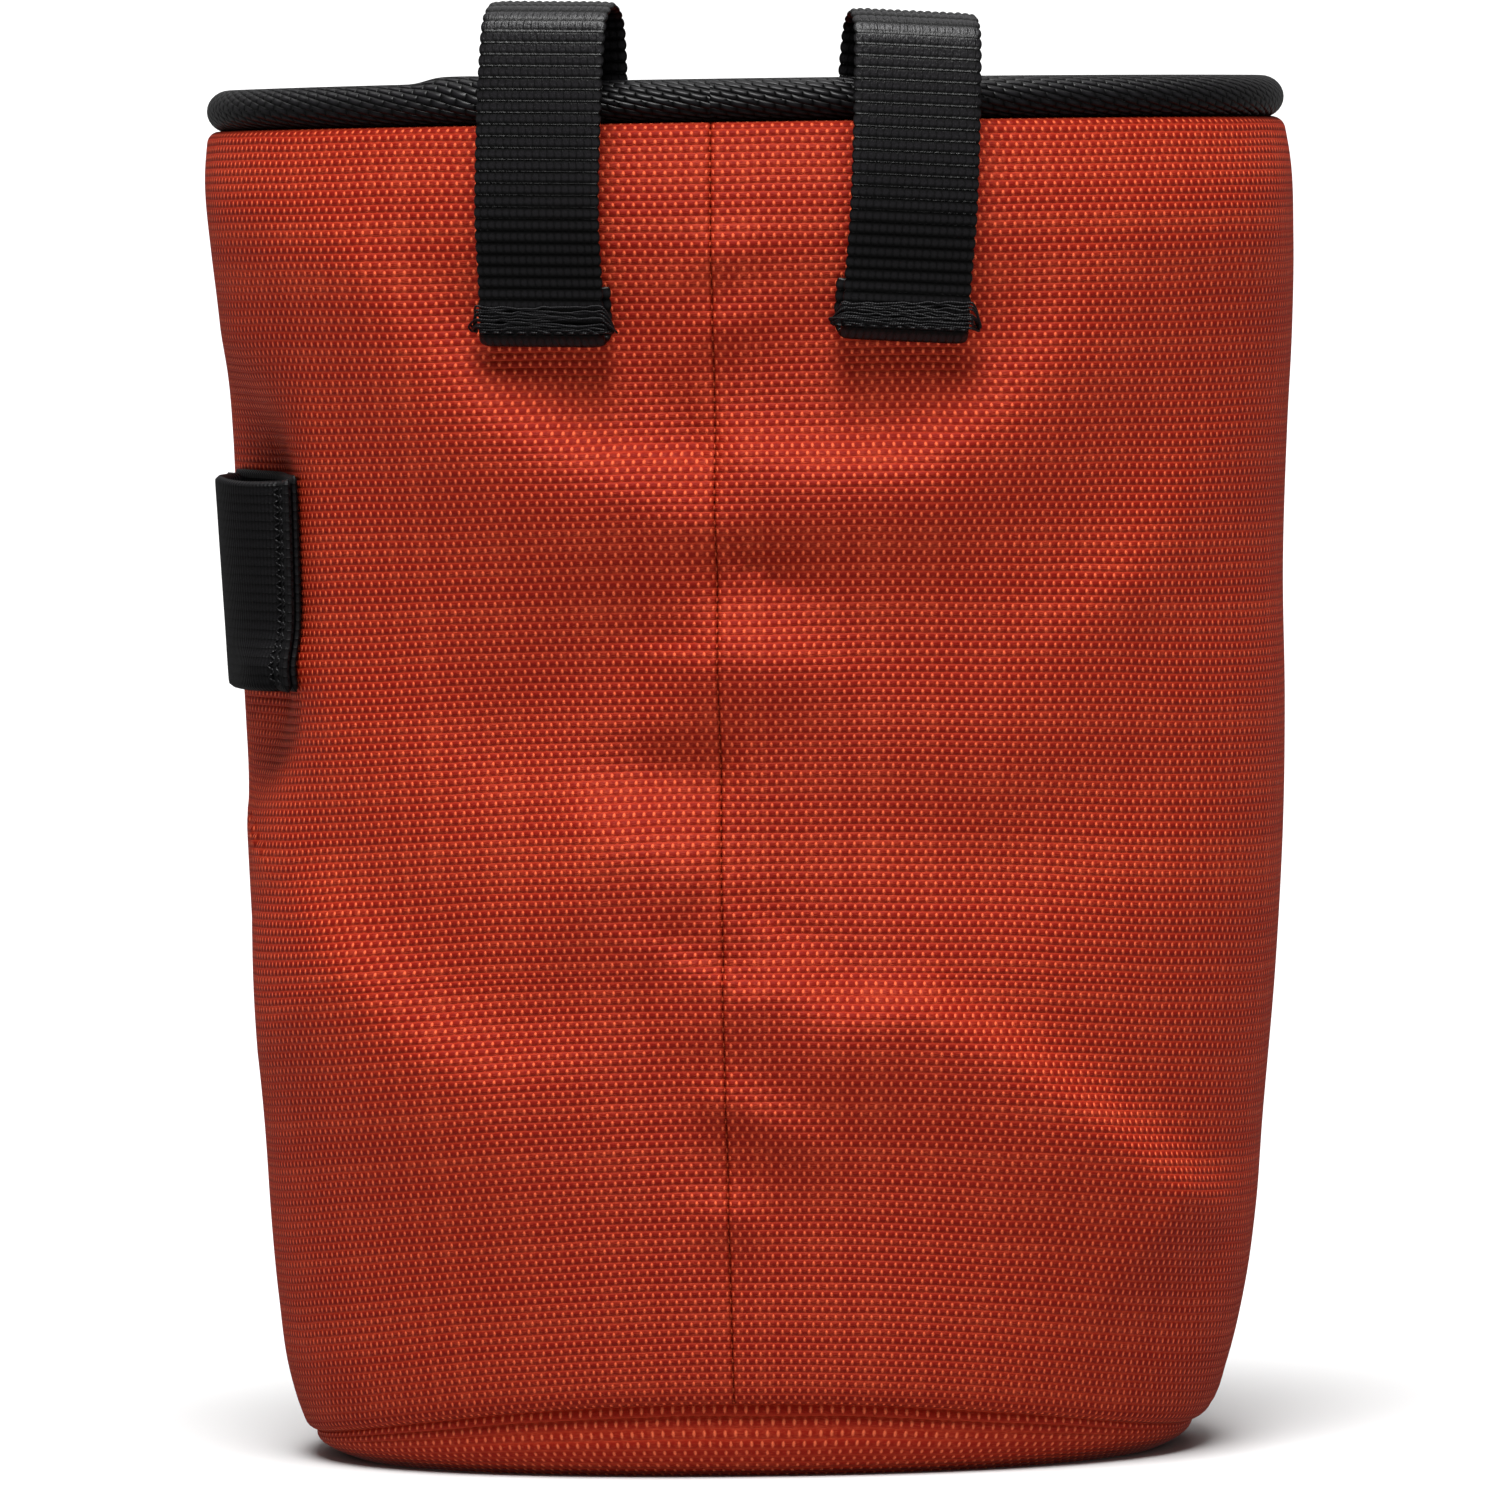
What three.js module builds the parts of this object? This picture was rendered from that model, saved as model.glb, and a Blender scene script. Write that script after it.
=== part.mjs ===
// Climbing chalk bag, in millimetres, +Z up. The face with the two belt loops looks along -Y, its seam
// lies in the plane X = 0, and the origin is the middle of the flat underside.
import * as THREE from "three";

// Cloth body: outside sizes at the hem, the cloth and the seam that joins the base
const MOUTH_WIDTH = 128.4;
const MOUTH_DEPTH = 100;
const HEM_HEIGHT = 156.8;
const CLOTH = 1.8;
const BASE_SEAM_FRONT = 8.8;
const BASE_SEAM_SIDE = 3;
const SECTION_POWER = 2.2;

// Folds: how far a fold of share 1 stands out of the cloth, and how far it spreads. They fade out from a
// share of the hem height up to the hem, and where the cloth turns away from the fold's own side.
const FOLD_RISE = 2.4;
const FOLD_SPREAD = 9;
const FOLD_FADE_START = 0.9;
const FOLD_FULL_FACING = 0.4;

// Base panel: a shallow dish whose lip is tucked up inside the body. Its edge stands upright between two
// shares of the seam's height.
const PANEL = 2;
const PANEL_LIP = 3;
const PANEL_REVEAL = 0.6;
const PANEL_EDGE_ROUND = 1.5;
const PANEL_EDGE_LOW = 0.3;
const PANEL_EDGE_HIGH = 0.8;

// Rim binding: a roll of tape on the hem, thicker where the ends of the tape lap
const RIM_WIDTH = 5;
const RIM_HEIGHT = 4.6;
const RIM_INSET = 0.4;
const RIM_LAP_RISE = 0.7;
const RIM_LAP_LENGTH = 12;
const RIM_LAP_POWER = 4;
const RIM_LAP_X = -35;

// Belt loops: webbing sewn to the body, up over the rim and down inside the mouth
const WEBBING_WIDTH = 15;
const WEBBING = 1.3;
const LOOP_DROP = 24.6;
const LOOP_END_FOLD = 7;
const LOOP_INSIDE = 10;
const BELT_ROOM = 2.4;
const BELT_BELOW_HEM = 9;
const LOOP_OFF_RIM = 2.6;
const LEFT_LOOP = { x: -19.5, rise: 9.9, leanDegrees: 1 };
const RIGHT_LOOP = { x: 22.9, rise: 8.2, leanDegrees: 3.7 };

// A belt loop clears the cloth at these shares of its width, a little past both of its edges
const LOOP_FEELERS = [-0.6, -0.3, 0, 0.3, 0.6];

// Brush loop: an elastic band sewn flat at both ends, bowed between them over a dent in the cloth. Its
// tunnel ends where the sewn ends do, with a little thread room.
const ELASTIC = 1.2;
const BRUSH_LOOP_WIDTH = 25;
const BRUSH_LOOP_TOP = 117.6;
const BRUSH_LOOP_START_X = -50.2;
const BRUSH_LOOP_LENGTH = 28;
const BRUSH_LOOP_SEWN_END = 3;
const BRUSH_THREAD_ROOM = 0.9;
const BRUSH_ROOM = 6.4;
const BRUSH_BOW_POWER = 0.8;
const BRUSH_LOOP_GAP = 0.7;

// The dent behind the brush loop: its depth, and how far it reaches in shares of the loop's length
// sideways and of its width upright
const BRUSH_DENT = 5.6;
const DENT_SIDEWAYS_END = 0.75;
const DENT_UPRIGHT_FULL = 0.45;
const DENT_UPRIGHT_END = 1.2;

// Clearance between sewn pieces, and the fineness of the faceted solids. Rows crowd towards the base,
// where the form turns in.
const SEWN_GAP = 0.3;
const COLUMNS = 72;
const BODY_ROWS = 24;
const ROW_CROWDING = 1.25;
const RIM_SIDES = 10;
const LOOP_STEPS = 44;
const BAND_STEPS = 14;
const BAND_ROWS = 6;
const ANGLE_NUDGE = 0.002;

// Heights are shares of the hem height; left and right are shares of half the mouth's width, front and
// back of half its depth
const SECTIONS = [
  { height: 0, left: 0.78, right: 0.768, front: 0.78, back: 0.78 },
  { height: 0.012, left: 0.822, right: 0.8, front: 0.82, back: 0.82 },
  { height: 0.031, left: 0.845, right: 0.837, front: 0.85, back: 0.85 },
  { height: 0.061, left: 0.867, right: 0.864, front: 0.88, back: 0.875 },
  { height: 0.12, left: 0.886, right: 0.9, front: 0.915, back: 0.905 },
  { height: 0.18, left: 0.897, right: 0.922, front: 0.935, back: 0.93 },
  { height: 0.24, left: 0.903, right: 0.935, front: 0.95, back: 0.95 },
  { height: 0.36, left: 0.916, right: 0.964, front: 0.975, back: 0.985 },
  { height: 0.48, left: 0.927, right: 0.983, front: 0.99, back: 1.01 },
  { height: 0.56, left: 0.939, right: 0.988, front: 0.99, back: 1.015 },
  { height: 0.66, left: 0.947, right: 0.988, front: 0.985, back: 1.01 },
  { height: 0.77, left: 0.953, right: 1, front: 0.985, back: 1 },
  { height: 0.84, left: 0.96, right: 1.011, front: 0.99, back: 1 },
  { height: 0.91, left: 0.974, right: 1.016, front: 1, back: 1.005 },
  { height: 0.97, left: 0.986, right: 1.012, front: 1.005, back: 1.005 },
  { height: 1, left: 0.98, right: 1, front: 0.99, back: 0.99 },
];

// Folds run between two points: x is a share of half the mouth's width, z of the hem height. A positive
// rise is a ridge and a negative one a valley. The side is -1 for the face with the belt loops.
const FOLDS = [
  { side: -1, x1: -0.7, z1: 0.95, x2: -0.44, z2: 0.8, rise: 0.5, spread: 0.9 },
  { side: -1, x1: -0.44, z1: 0.79, x2: -0.04, z2: 0.7, rise: 0.8, spread: 0.8 },
  { side: -1, x1: -0.18, z1: 0.83, x2: -0.04, z2: 0.76, rise: -0.8, spread: 0.7 },
  { side: -1, x1: 0.04, z1: 0.79, x2: 0.17, z2: 0.83, rise: -0.6, spread: 0.6 },
  { side: -1, x1: 0.03, z1: 0.72, x2: 0.33, z2: 0.74, rise: 0.8, spread: 0.8 },
  { side: -1, x1: 0.33, z1: 0.74, x2: 0.61, z2: 0.81, rise: 0.5, spread: 0.8 },
  { side: -1, x1: 0.02, z1: 0.67, x2: 0.28, z2: 0.66, rise: -0.6, spread: 0.7 },
  { side: -1, x1: -0.3, z1: 0.54, x2: -0.02, z2: 0.54, rise: -0.5, spread: 0.8 },
  { side: -1, x1: -0.55, z1: 0.5, x2: -0.2, z2: 0.45, rise: 0.7, spread: 1.4 },
  { side: -1, x1: -0.8, z1: 0.44, x2: -0.46, z2: 0.31, rise: -1, spread: 0.9 },
  { side: -1, x1: -0.74, z1: 0.37, x2: -0.36, z2: 0.25, rise: 0.7, spread: 0.9 },
  { side: -1, x1: 0.1, z1: 0.37, x2: 0.28, z2: 0.39, rise: -0.7, spread: 0.7 },
  { side: -1, x1: 0.28, z1: 0.39, x2: 0.88, z2: 0.2, rise: -0.8, spread: 0.8 },
  { side: -1, x1: 0.2, z1: 0.32, x2: 0.8, z2: 0.13, rise: 0.6, spread: 0.9 },
  { side: -1, x1: 0.01, z1: 0.29, x2: 0.24, z2: 0.24, rise: -0.5, spread: 0.6 },
  { side: -1, x1: 0.5, z1: 0.6, x2: 0.85, z2: 0.7, rise: -0.5, spread: 1.2 },
  { side: 1, x1: -0.5, z1: 0.7, x2: 0.1, z2: 0.62, rise: -0.6, spread: 1.2 },
  { side: 1, x1: -0.3, z1: 0.35, x2: 0.5, z2: 0.28, rise: 0.6, spread: 1.3 },
  { side: 1, x1: 0.2, z1: 0.5, x2: 0.8, z2: 0.42, rise: -0.6, spread: 1.1 },
];

const HALF_WIDTH = MOUTH_WIDTH / 2;
const HALF_DEPTH = MOUTH_DEPTH / 2;
const RIM_MIDDLE = HEM_HEIGHT + SEWN_GAP + RIM_HEIGHT / 2;
const RIM_TOP = RIM_MIDDLE + RIM_HEIGHT / 2;
const UP = new THREE.Vector3(0, 0, 1);

// Smooth step from 0 to 1 as value goes from low to high
function ease(value, low, high) {
  return THREE.MathUtils.smoothstep(value, low, high);
}

// Half sizes of the body's section at a height
function sectionAt(z) {
  const height = z / HEM_HEIGHT;
  const last = SECTIONS.length - 2;
  const found = SECTIONS.findIndex((row, i) => i > 0 && row.height >= height);
  const i = found < 0 ? last : found - 1;
  const low = SECTIONS[i];
  const high = SECTIONS[i + 1];
  const t = (height - low.height) / (high.height - low.height);
  const blend = (column) => THREE.MathUtils.lerp(low[column], high[column], t);
  return {
    left: blend("left") * HALF_WIDTH,
    right: blend("right") * HALF_WIDTH,
    front: blend("front") * HALF_DEPTH,
    back: blend("back") * HALF_DEPTH,
  };
}

// Angle around the body, measured from +X towards +Y, of the front point that lies at x
function frontAngle(x, z) {
  const section = sectionAt(z);
  const half = x < 0 ? section.left : section.right;
  return -Math.acos(Math.sign(x) * (Math.abs(x) / half) ** (SECTION_POWER / 2));
}

// Point of the plain section, without folds, and its outward normal
function plainPoint(angle, z) {
  const section = sectionAt(z);
  const c = Math.cos(angle);
  const s = Math.sin(angle);
  const halfX = c < 0 ? section.left : section.right;
  const halfY = s < 0 ? section.front : section.back;
  const bend = 2 / SECTION_POWER;
  const point = new THREE.Vector3(
    halfX * Math.sign(c) * Math.abs(c) ** bend,
    halfY * Math.sign(s) * Math.abs(s) ** bend,
    z,
  );
  const normal = new THREE.Vector3(
    (Math.sign(c) * Math.abs(c) ** (2 - bend)) / halfX,
    (Math.sign(s) * Math.abs(s) ** (2 - bend)) / halfY,
    0,
  ).normalize();
  return { point, normal };
}

// How far the folds lift the cloth at a point: each is a rounded ridge or valley along its line
function foldLift(point, facing) {
  const place = new THREE.Vector2(point.x, point.z);
  return FOLDS.reduce((lift, fold) => {
    const from = new THREE.Vector2(fold.x1 * HALF_WIDTH, fold.z1 * HEM_HEIGHT);
    const line = new THREE.Vector2(fold.x2 * HALF_WIDTH, fold.z2 * HEM_HEIGHT).sub(from);
    const along = THREE.MathUtils.clamp(place.clone().sub(from).dot(line) / line.lengthSq(), 0, 1);
    const away = place.distanceTo(from.addScaledVector(line, along));
    const shape = Math.exp(-((away / (fold.spread * FOLD_SPREAD)) ** 2));
    return lift + fold.rise * FOLD_RISE * shape * ease(facing * fold.side, 0, FOLD_FULL_FACING);
  }, 0);
}

// Angles at even spacing along the body from the front end of the brush loop round to its back end
function brushLoopAngles(z) {
  const angles = [frontAngle(BRUSH_LOOP_START_X, z)];
  const stepLength = BRUSH_LOOP_LENGTH / BAND_STEPS;
  for (let i = 0; i < BAND_STEPS; i++) {
    const here = angles[i];
    const nudged = plainPoint(here - ANGLE_NUDGE, z).point;
    const speed = plainPoint(here, z).point.distanceTo(nudged) / ANGLE_NUDGE;
    angles.push(here - stepLength / speed);
  }
  return angles;
}

const BRUSH_LOOP_MIDDLE = BRUSH_LOOP_TOP - BRUSH_LOOP_WIDTH / 2;
const BRUSH_ANGLES = brushLoopAngles(BRUSH_LOOP_MIDDLE);
const BRUSH_CENTRE = plainPoint(BRUSH_ANGLES[BAND_STEPS / 2], BRUSH_LOOP_MIDDLE).point;

// The cloth gives way behind the middle of the brush loop
function brushDent(point) {
  const across = Math.hypot(point.x - BRUSH_CENTRE.x, point.y - BRUSH_CENTRE.y);
  const away = Math.abs(point.z - BRUSH_LOOP_MIDDLE);
  const sideways = 1 - ease(across / BRUSH_LOOP_LENGTH, 0, DENT_SIDEWAYS_END);
  const upright = 1 - ease(away / BRUSH_LOOP_WIDTH, DENT_UPRIGHT_FULL, DENT_UPRIGHT_END);
  return BRUSH_DENT * sideways * upright;
}

// Point of the body's real surface, moved inwards by inset
function bodyPoint(angle, z, inset) {
  const { point, normal } = plainPoint(angle, z);
  const hemFade = 1 - ease(z / HEM_HEIGHT, FOLD_FADE_START, 1);
  const lift = foldLift(point, Math.sin(angle)) * hemFade - brushDent(point);
  return point.addScaledVector(normal, lift - inset);
}

// Ring of points around the body; height and inset may follow the angle
function bodyRing(heightAt, inset) {
  return Array.from({ length: COLUMNS }, (_, i) => {
    const angle = (2 * Math.PI * i) / COLUMNS;
    return bodyPoint(angle, heightAt(angle), inset);
  });
}

// Closed surface through rings with equal counts of points: the last ring meets the first, or flat
// fans close both ends
function skin(rings, endless) {
  const count = rings[0].length;
  const points = rings.flat();
  const triangles = [];
  const links = endless ? rings.length : rings.length - 1;
  for (let r = 0; r < links; r++) {
    const here = r * count;
    const next = ((r + 1) % rings.length) * count;
    for (let i = 0; i < count; i++) {
      const j = (i + 1) % count;
      triangles.push(here + i, here + j, next + j, here + i, next + j, next + i);
    }
  }
  if (!endless) {
    const middle = (ring) =>
      ring.reduce((sum, p) => sum.add(p), new THREE.Vector3()).divideScalar(count);
    const first = points.push(middle(rings[0])) - 1;
    const last = points.push(middle(rings.at(-1))) - 1;
    const lastRing = (rings.length - 1) * count;
    for (let i = 0; i < count; i++) {
      const j = (i + 1) % count;
      triangles.push(first, j, i, last, lastRing + i, lastRing + j);
    }
  }
  const geometry = new THREE.BufferGeometry().setFromPoints(points);
  geometry.setIndex(triangles);
  geometry.computeVertexNormals();
  return geometry;
}

// Height of the seam above the floor: it arches over the front and the back of the base
function seamHeight(angle) {
  const arch = Math.abs(Math.sin(angle)) ** SECTION_POWER;
  return THREE.MathUtils.lerp(BASE_SEAM_SIDE, BASE_SEAM_FRONT, arch);
}

// Cloth body: an open tube from the base seam to the hem, with its folds
function bagBody() {
  const rowRing = (row, inset) => {
    const share = (row / BODY_ROWS) ** ROW_CROWDING;
    return bodyRing((angle) => THREE.MathUtils.lerp(seamHeight(angle), HEM_HEIGHT, share), inset);
  };
  const rows = Array.from({ length: BODY_ROWS + 1 }, (_, row) => row);
  const outside = rows.map((row) => rowRing(row, 0));
  const inside = rows.map((row) => rowRing(row, CLOTH)).reverse();
  return skin([...outside, ...inside], true);
}

// Base panel: flat underside, rounded edge, and a lip tucked up inside the body
function basePanel() {
  const tucked = CLOTH + SEWN_GAP;
  const below = (share) => (angle) => share * seamHeight(angle);
  const lipTop = (angle) => seamHeight(angle) + PANEL_LIP;
  return skin(
    [
      bodyRing(below(0), PANEL_EDGE_ROUND),
      bodyRing(below(PANEL_EDGE_LOW), PANEL_REVEAL),
      bodyRing(below(PANEL_EDGE_HIGH), PANEL_REVEAL),
      bodyRing((angle) => seamHeight(angle) - SEWN_GAP, tucked),
      bodyRing(lipTop, tucked),
      bodyRing(lipTop, tucked + PANEL),
      bodyRing((angle) => PANEL + below(PANEL_EDGE_LOW)(angle), tucked + PANEL),
      bodyRing(() => PANEL, tucked + PANEL + PANEL_EDGE_ROUND),
    ],
    false,
  );
}

// Rim binding: an oval roll that follows the hem, swollen at the lap of its tape
function rimBinding() {
  const rings = Array.from({ length: RIM_SIDES }, (_, side) => {
    const turn = (2 * Math.PI * side) / RIM_SIDES;
    const inset = RIM_INSET + (RIM_WIDTH / 2) * (1 - Math.cos(turn));
    return bodyRing(() => HEM_HEIGHT, inset).map((point) => {
      const fromLap = (point.x - RIM_LAP_X) / (RIM_LAP_LENGTH / 2);
      const onLap = point.y < 0 && turn < Math.PI;
      const lap = onLap ? RIM_LAP_RISE * Math.exp(-(fromLap ** RIM_LAP_POWER)) : 0;
      return point.setZ(RIM_MIDDLE + (RIM_HEIGHT / 2 + lap) * Math.sin(turn));
    });
  });
  return skin(rings, true);
}

// Belt loop: the side profile of a bent strap, extruded by the webbing's width and set on the body
function beltLoop({ x, rise, leanDegrees }) {
  const lean = THREE.MathUtils.degToRad(leanDegrees);
  const { point: seat, normal: out } = plainPoint(frontAngle(x, HEM_HEIGHT), HEM_HEIGHT);
  const across = new THREE.Vector3().crossVectors(out, UP);

  // Distances of the cloth from the seat along the normal, over the width of the webbing
  const offsets = (z, inset) =>
    LOOP_FEELERS.map((share) => {
      const shift = Math.tan(lean) * (z - HEM_HEIGHT);
      const placeX = seat.x + shift + across.x * share * WEBBING_WIDTH;
      return bodyPoint(frontAngle(placeX, z), z, inset).sub(seat).dot(out);
    });
  const outside = (z) => Math.max(...offsets(z, 0)) + SEWN_GAP;
  const inside = (z) => Math.min(...offsets(z, CLOTH)) - SEWN_GAP - WEBBING / 2;

  const end = HEM_HEIGHT - LOOP_DROP;
  const foldTop = end + LOOP_END_FOLD;
  const start = HEM_HEIGHT - LOOP_INSIDE;
  const behindRim = Math.min(...offsets(HEM_HEIGHT, RIM_INSET + RIM_WIDTH)) - SEWN_GAP - WEBBING / 2;
  const beforeRim = Math.max(...offsets(HEM_HEIGHT, RIM_INSET)) + LOOP_OFF_RIM + WEBBING / 2;
  const crown = RIM_TOP + rise - WEBBING / 2;
  const radius = (beforeRim - behindRim) / 2;
  const bevel = radius * (1 - Math.SQRT1_2);
  const beltLevel = HEM_HEIGHT - BELT_BELOW_HEM;
  const path = new THREE.CatmullRomCurve3(
    [
      [inside(start), start],
      [inside(start + LOOP_INSIDE / 2), start + LOOP_INSIDE / 2],
      [behindRim, RIM_MIDDLE],
      [behindRim, crown - radius],
      [behindRim + bevel, crown - bevel],
      [behindRim + radius, crown],
      [beforeRim - bevel, crown - bevel],
      [beforeRim, crown - radius],
      [outside(beltLevel) + BELT_ROOM + WEBBING / 2, beltLevel],
      [outside(foldTop) + WEBBING + WEBBING / 2, foldTop],
      [outside(end) + WEBBING + WEBBING / 2, end],
    ].map(([n, z]) => new THREE.Vector3(n, z - HEM_HEIGHT, 0)),
    false,
    "centripetal",
  );

  // The two faces of the strap, then the end turned under it
  const faces = [-0.5, 0.5].map((half) =>
    Array.from({ length: LOOP_STEPS + 1 }, (_, i) => {
      const p = path.getPoint(i / LOOP_STEPS);
      const t = path.getTangent(i / LOOP_STEPS);
      return new THREE.Vector2(p.x - t.y * WEBBING * half, p.y + t.x * WEBBING * half);
    }),
  );
  const [under, upper] = faces;
  const turnedTop = foldTop - HEM_HEIGHT;
  const turnedEnd = end - HEM_HEIGHT;
  const profile = new THREE.Shape([
    ...upper,
    new THREE.Vector2(outside(end), turnedEnd),
    new THREE.Vector2(outside(foldTop), turnedTop),
    ...under.filter((p, i) => i < LOOP_STEPS / 2 || p.y > turnedTop).reverse(),
  ]);
  const geometry = new THREE.ExtrudeGeometry(profile, { depth: WEBBING_WIDTH, bevelEnabled: false });
  geometry.translate(0, 0, -WEBBING_WIDTH / 2);
  return { geometry, seat, turn: new THREE.Matrix4().makeBasis(out, UP, across), lean };
}

// Brush loop: two layers of elastic, one on the body and one bowed out, joined flat at both ends
function brushLoop() {
  const sewnShare = BRUSH_LOOP_SEWN_END / BRUSH_LOOP_LENGTH;
  const bow = (share) => {
    const t = THREE.MathUtils.clamp((share - sewnShare) / (1 - 2 * sewnShare), 0, 1);
    return BRUSH_ROOM * Math.sin(Math.PI * t) ** BRUSH_BOW_POWER;
  };
  const layer = (z, from, to, offsetAt) => {
    const angles = brushLoopAngles(z);
    return Array.from({ length: BAND_STEPS + 1 }, (_, i) => {
      const share = THREE.MathUtils.lerp(from, to, i / BAND_STEPS);
      const place = share * BAND_STEPS;
      const low = Math.min(Math.floor(place), BAND_STEPS - 1);
      const angle = THREE.MathUtils.lerp(angles[low], angles[low + 1], place - low);
      return bodyPoint(angle, z, -offsetAt(share));
    });
  };
  const tunnelStart = (BRUSH_LOOP_SEWN_END + BRUSH_THREAD_ROOM) / BRUSH_LOOP_LENGTH;
  const tunnelEnd = 1 - tunnelStart;
  const rows = Array.from(
    { length: BAND_ROWS },
    (_, i) => BRUSH_LOOP_TOP - BRUSH_LOOP_WIDTH + (BRUSH_LOOP_WIDTH * i) / (BAND_ROWS - 1),
  );
  const outline = (z) => [
    ...layer(z, 1, 0, (share) => BRUSH_LOOP_GAP + 2 * ELASTIC + bow(share)),
    ...layer(z, 0, 1, () => BRUSH_LOOP_GAP),
  ];
  const hole = (z) => [
    ...layer(z, tunnelEnd, tunnelStart, (share) => BRUSH_LOOP_GAP + ELASTIC + bow(share)),
    ...layer(z, tunnelStart, tunnelEnd, () => BRUSH_LOOP_GAP + ELASTIC),
  ];
  return skin([...rows.map(outline), ...rows.map(hole).reverse()], true);
}

// Finishes
const cloth = new THREE.MeshStandardMaterial({ color: "#a83c2a", roughness: 0.85, metalness: 0 });
const tape = new THREE.MeshStandardMaterial({ color: "#1b1a1c", roughness: 0.8, metalness: 0 });
const webbing = new THREE.MeshStandardMaterial({ color: "#18181a", roughness: 0.7, metalness: 0 });
const elastic = new THREE.MeshStandardMaterial({ color: "#222124", roughness: 0.75, metalness: 0 });

// The bag, piece by piece
const bag = new THREE.Group();

function addPiece(name, geometry, material) {
  const mesh = new THREE.Mesh(geometry, material);
  mesh.name = name;
  bag.add(mesh);
  return mesh;
}

function addBeltLoop(name, values) {
  const { geometry, seat, turn, lean } = beltLoop(values);
  const mesh = addPiece(name, geometry, webbing);
  mesh.position.copy(seat);
  mesh.quaternion.setFromRotationMatrix(turn);
  mesh.rotateX(-lean);
}

addPiece("bag_body", bagBody(), cloth);
addPiece("base_panel", basePanel(), cloth.clone());
addPiece("rim_binding", rimBinding(), tape);
addPiece("brush_loop", brushLoop(), elastic);
addBeltLoop("belt_loop_left", LEFT_LOOP);
addBeltLoop("belt_loop_right", RIGHT_LOOP);

export default bag;
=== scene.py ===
# %% [markdown]
# This is a bag for climbing chalk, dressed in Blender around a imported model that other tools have
# measured and weighed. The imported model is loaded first. It is a fixed frame: nothing in it is moved,
# and each soft piece made below takes the place of one plain solid of it.

# %% Open the frame
import math
from collections import namedtuple

import bpy
import numpy as np
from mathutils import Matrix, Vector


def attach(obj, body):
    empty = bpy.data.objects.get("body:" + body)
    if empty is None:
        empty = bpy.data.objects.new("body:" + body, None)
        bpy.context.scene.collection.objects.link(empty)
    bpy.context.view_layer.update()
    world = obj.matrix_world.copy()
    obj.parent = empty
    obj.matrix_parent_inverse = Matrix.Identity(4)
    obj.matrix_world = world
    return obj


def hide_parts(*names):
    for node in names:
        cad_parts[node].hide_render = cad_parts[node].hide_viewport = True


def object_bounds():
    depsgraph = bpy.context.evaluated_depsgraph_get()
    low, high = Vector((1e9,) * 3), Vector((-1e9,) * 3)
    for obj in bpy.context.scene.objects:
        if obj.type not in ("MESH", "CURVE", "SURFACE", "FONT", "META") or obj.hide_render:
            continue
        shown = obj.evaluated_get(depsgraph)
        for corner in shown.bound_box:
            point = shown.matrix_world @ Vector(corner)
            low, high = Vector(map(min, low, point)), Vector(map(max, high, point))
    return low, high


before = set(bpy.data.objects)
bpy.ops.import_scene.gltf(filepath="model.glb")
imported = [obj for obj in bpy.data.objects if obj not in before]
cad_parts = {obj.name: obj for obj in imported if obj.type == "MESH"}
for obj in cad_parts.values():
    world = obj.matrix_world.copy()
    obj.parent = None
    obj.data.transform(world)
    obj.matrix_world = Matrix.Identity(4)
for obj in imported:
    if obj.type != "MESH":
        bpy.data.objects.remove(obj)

MM = 0.001
cad_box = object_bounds()
box_in_mm = [[round(x / MM, 1) for x in corner] for corner in cad_box]
print("frame:", sorted(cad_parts), "box in mm:", box_in_mm)

# %% [markdown]
# A good picture starts with the camera, because every shape is judged through it. The photograph was
# taken from far away through a long lens, a little above the rim and a little to the right of the
# front, so the camera stands two metres off and the lens is narrow. The picture is rolled by less than
# a degree, as a hand-held one is.

# %% Camera
CAMERA_DISTANCE = 2.0
CAMERA_TURN = math.radians(4)
CAMERA_HEIGHT = 0.187
AIM_HEIGHT = 0.0827
ROLL = math.radians(-0.9)
LENS = 405.6
SENSOR = 36
FAR_END = 50

eye_x = CAMERA_DISTANCE * math.sin(CAMERA_TURN)
eye_y = -CAMERA_DISTANCE * math.cos(CAMERA_TURN)
eye = (eye_x, eye_y, CAMERA_HEIGHT)
tilt = math.atan2(CAMERA_HEIGHT - AIM_HEIGHT, CAMERA_DISTANCE)
bpy.ops.object.camera_add(location=eye, rotation=(math.pi / 2 - tilt, 0, CAMERA_TURN))
camera = bpy.context.object
camera.name = "camera"
camera.data.lens = LENS
camera.data.sensor_width = SENSOR
camera.data.clip_end = FAR_END
camera.rotation_euler.rotate_axis("Z", ROLL)
bpy.context.scene.camera = camera
print("camera at", [round(x, 3) for x in camera.location])
print("looking down by", round(math.degrees(tilt), 2), "degrees")

# %% [markdown]
# The maths of a shader is easier to read as Python than as a web of nodes. The small class below wraps
# a socket, and each sum or product of such wraps adds the Math node that does it. A finish holds a
# material and has one method that adds any other node.

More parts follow.
